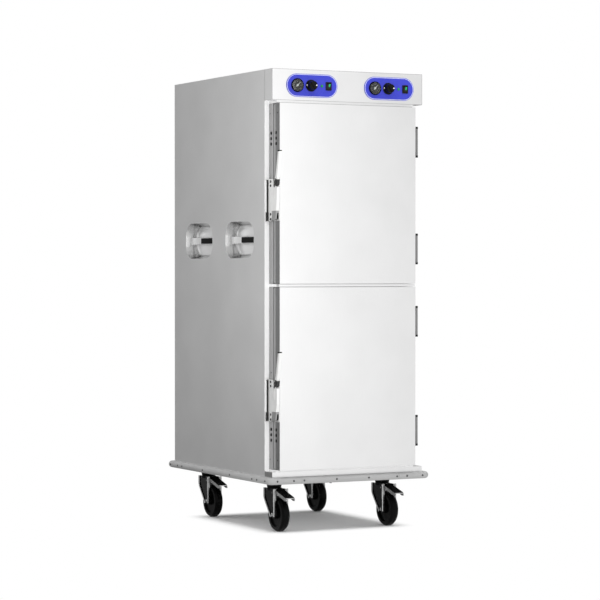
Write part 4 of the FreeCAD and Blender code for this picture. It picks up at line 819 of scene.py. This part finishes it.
level = maths(tree, "MAXIMUM", mapped(tree, along, GLOW_ALONG, GLOW_LEVELS), rays["Is Camera Ray"])
matte = add(tree, "ShaderNodeBsdfDiffuse", {"Color": linear("#FAFAFA")})
glow = add(tree, "ShaderNodeEmission", {"Color": WHITE, "Strength": level})
surface = add(tree, "ShaderNodeMixShader", {"Fac": fade, 1: matte.outputs[0], 2: glow.outputs[0]})
add(tree, "ShaderNodeOutputMaterial", {"Surface": surface.outputs[0]})
bm = bmesh.new()
bmesh.ops.create_grid(bm, x_segments=8, y_segments=8, size=FLOOR_HALF)
mesh = bpy.data.meshes.new("studio_floor")
bm.to_mesh(mesh)
bm.free()
mesh.materials.append(floor_material)
floor = bpy.data.objects.new("studio_floor", mesh)
scene.collection.objects.link(floor)

# World: pale walls that metal mirrors, lightest in front of the doors, an even fill, and white to the camera
BRIGHT_WALL = (0.45, -0.89, 0.0)
WALL_TURN = (-0.9, 0.2)
WALL_LEVELS = (0.36, 0.82)
FILL_LEVEL = 0.6
world = bpy.data.worlds.new("studio")
scene.world = world
tree = new_tree(world)
direction = add(tree, "ShaderNodeTexCoord").outputs["Generated"]
towards = add(tree, "ShaderNodeVectorMath", {0: direction, 1: BRIGHT_WALL}, operation="DOT_PRODUCT")
walls = mapped(tree, towards.outputs["Value"], WALL_TURN, WALL_LEVELS)
rays = add(tree, "ShaderNodeLightPath").outputs
mirror = maths(tree, "MAXIMUM", rays["Is Glossy Ray"], rays["Is Transmission Ray"])
fill = add(tree, "ShaderNodeBackground", {"Color": WHITE, "Strength": FILL_LEVEL})
studio = add(tree, "ShaderNodeBackground", {"Color": WHITE, "Strength": walls})
plain = add(tree, "ShaderNodeBackground", {"Color": WHITE, "Strength": 1.0})
lit = add(tree, "ShaderNodeMixShader", {"Fac": mirror, 1: fill.outputs[0], 2: studio.outputs[0]})
seen = rays["Is Camera Ray"]
shown = add(tree, "ShaderNodeMixShader", {"Fac": seen, 1: lit.outputs[0], 2: plain.outputs[0]})
add(tree, "ShaderNodeOutputWorld", {"Surface": shown.outputs[0]})


def softbox(name, place, target, width, height, radiance, mirrored=True):
    # A flat lamp of an even brightness, turned to a target; bright metal may be kept from mirroring it
    lamp = bpy.data.lights.new(name, "AREA")
    lamp.shape = "RECTANGLE"
    lamp.size = width
    lamp.size_y = height
    lamp.energy = radiance * math.pi * width * height
    made = bpy.data.objects.new(name, lamp)
    made.visible_glossy = mirrored
    made.location = place
    made.rotation_euler = (Vector(target) - Vector(place)).to_track_quat("-Z", "Y").to_euler()
    scene.collection.objects.link(made)


softbox("top_softbox", (0.0, -0.4, 4.6), (0.0, 0.0, 0.0),
        width=5.0, height=5.0, radiance=2.4, mirrored=False)
softbox("front_softbox", (0.35, -4.2, 1.15), (0.0, -0.4, 0.9),
        width=2.2, height=3.2, radiance=1.10)
softbox("side_softbox", (-2.6, 1.6, 1.4), (-0.3, 0.0, 1.0),
        width=1.6, height=2.4, radiance=1.2)
softbox("left_softbox", (-1.9, -5.6, 1.3), (-0.2, -0.4, 0.8),
        width=2.2, height=2.6, radiance=5.0, mirrored=False)

# Camera at the photograph's angle; the focal length is first in pixels of the square photograph
PHOTO_PIXELS = 600
FOCAL_PIXELS = 2353.56
SENSOR_WIDTH = 36.0
CAMERA_PLACE = (-4.1149, -8.1425, 0.9680)
CAMERA_DOWN = 0.705
CAMERA_TURN = -26.896
camera_data = bpy.data.cameras.new("camera")
camera_data.sensor_width = SENSOR_WIDTH
camera_data.lens = FOCAL_PIXELS / PHOTO_PIXELS * SENSOR_WIDTH
camera = bpy.data.objects.new("camera", camera_data)
camera.location = CAMERA_PLACE
camera.rotation_euler = (math.radians(90 - CAMERA_DOWN), 0.0, math.radians(CAMERA_TURN))
scene.collection.objects.link(camera)
scene.camera = camera
scene.view_settings.view_transform = "Standard"
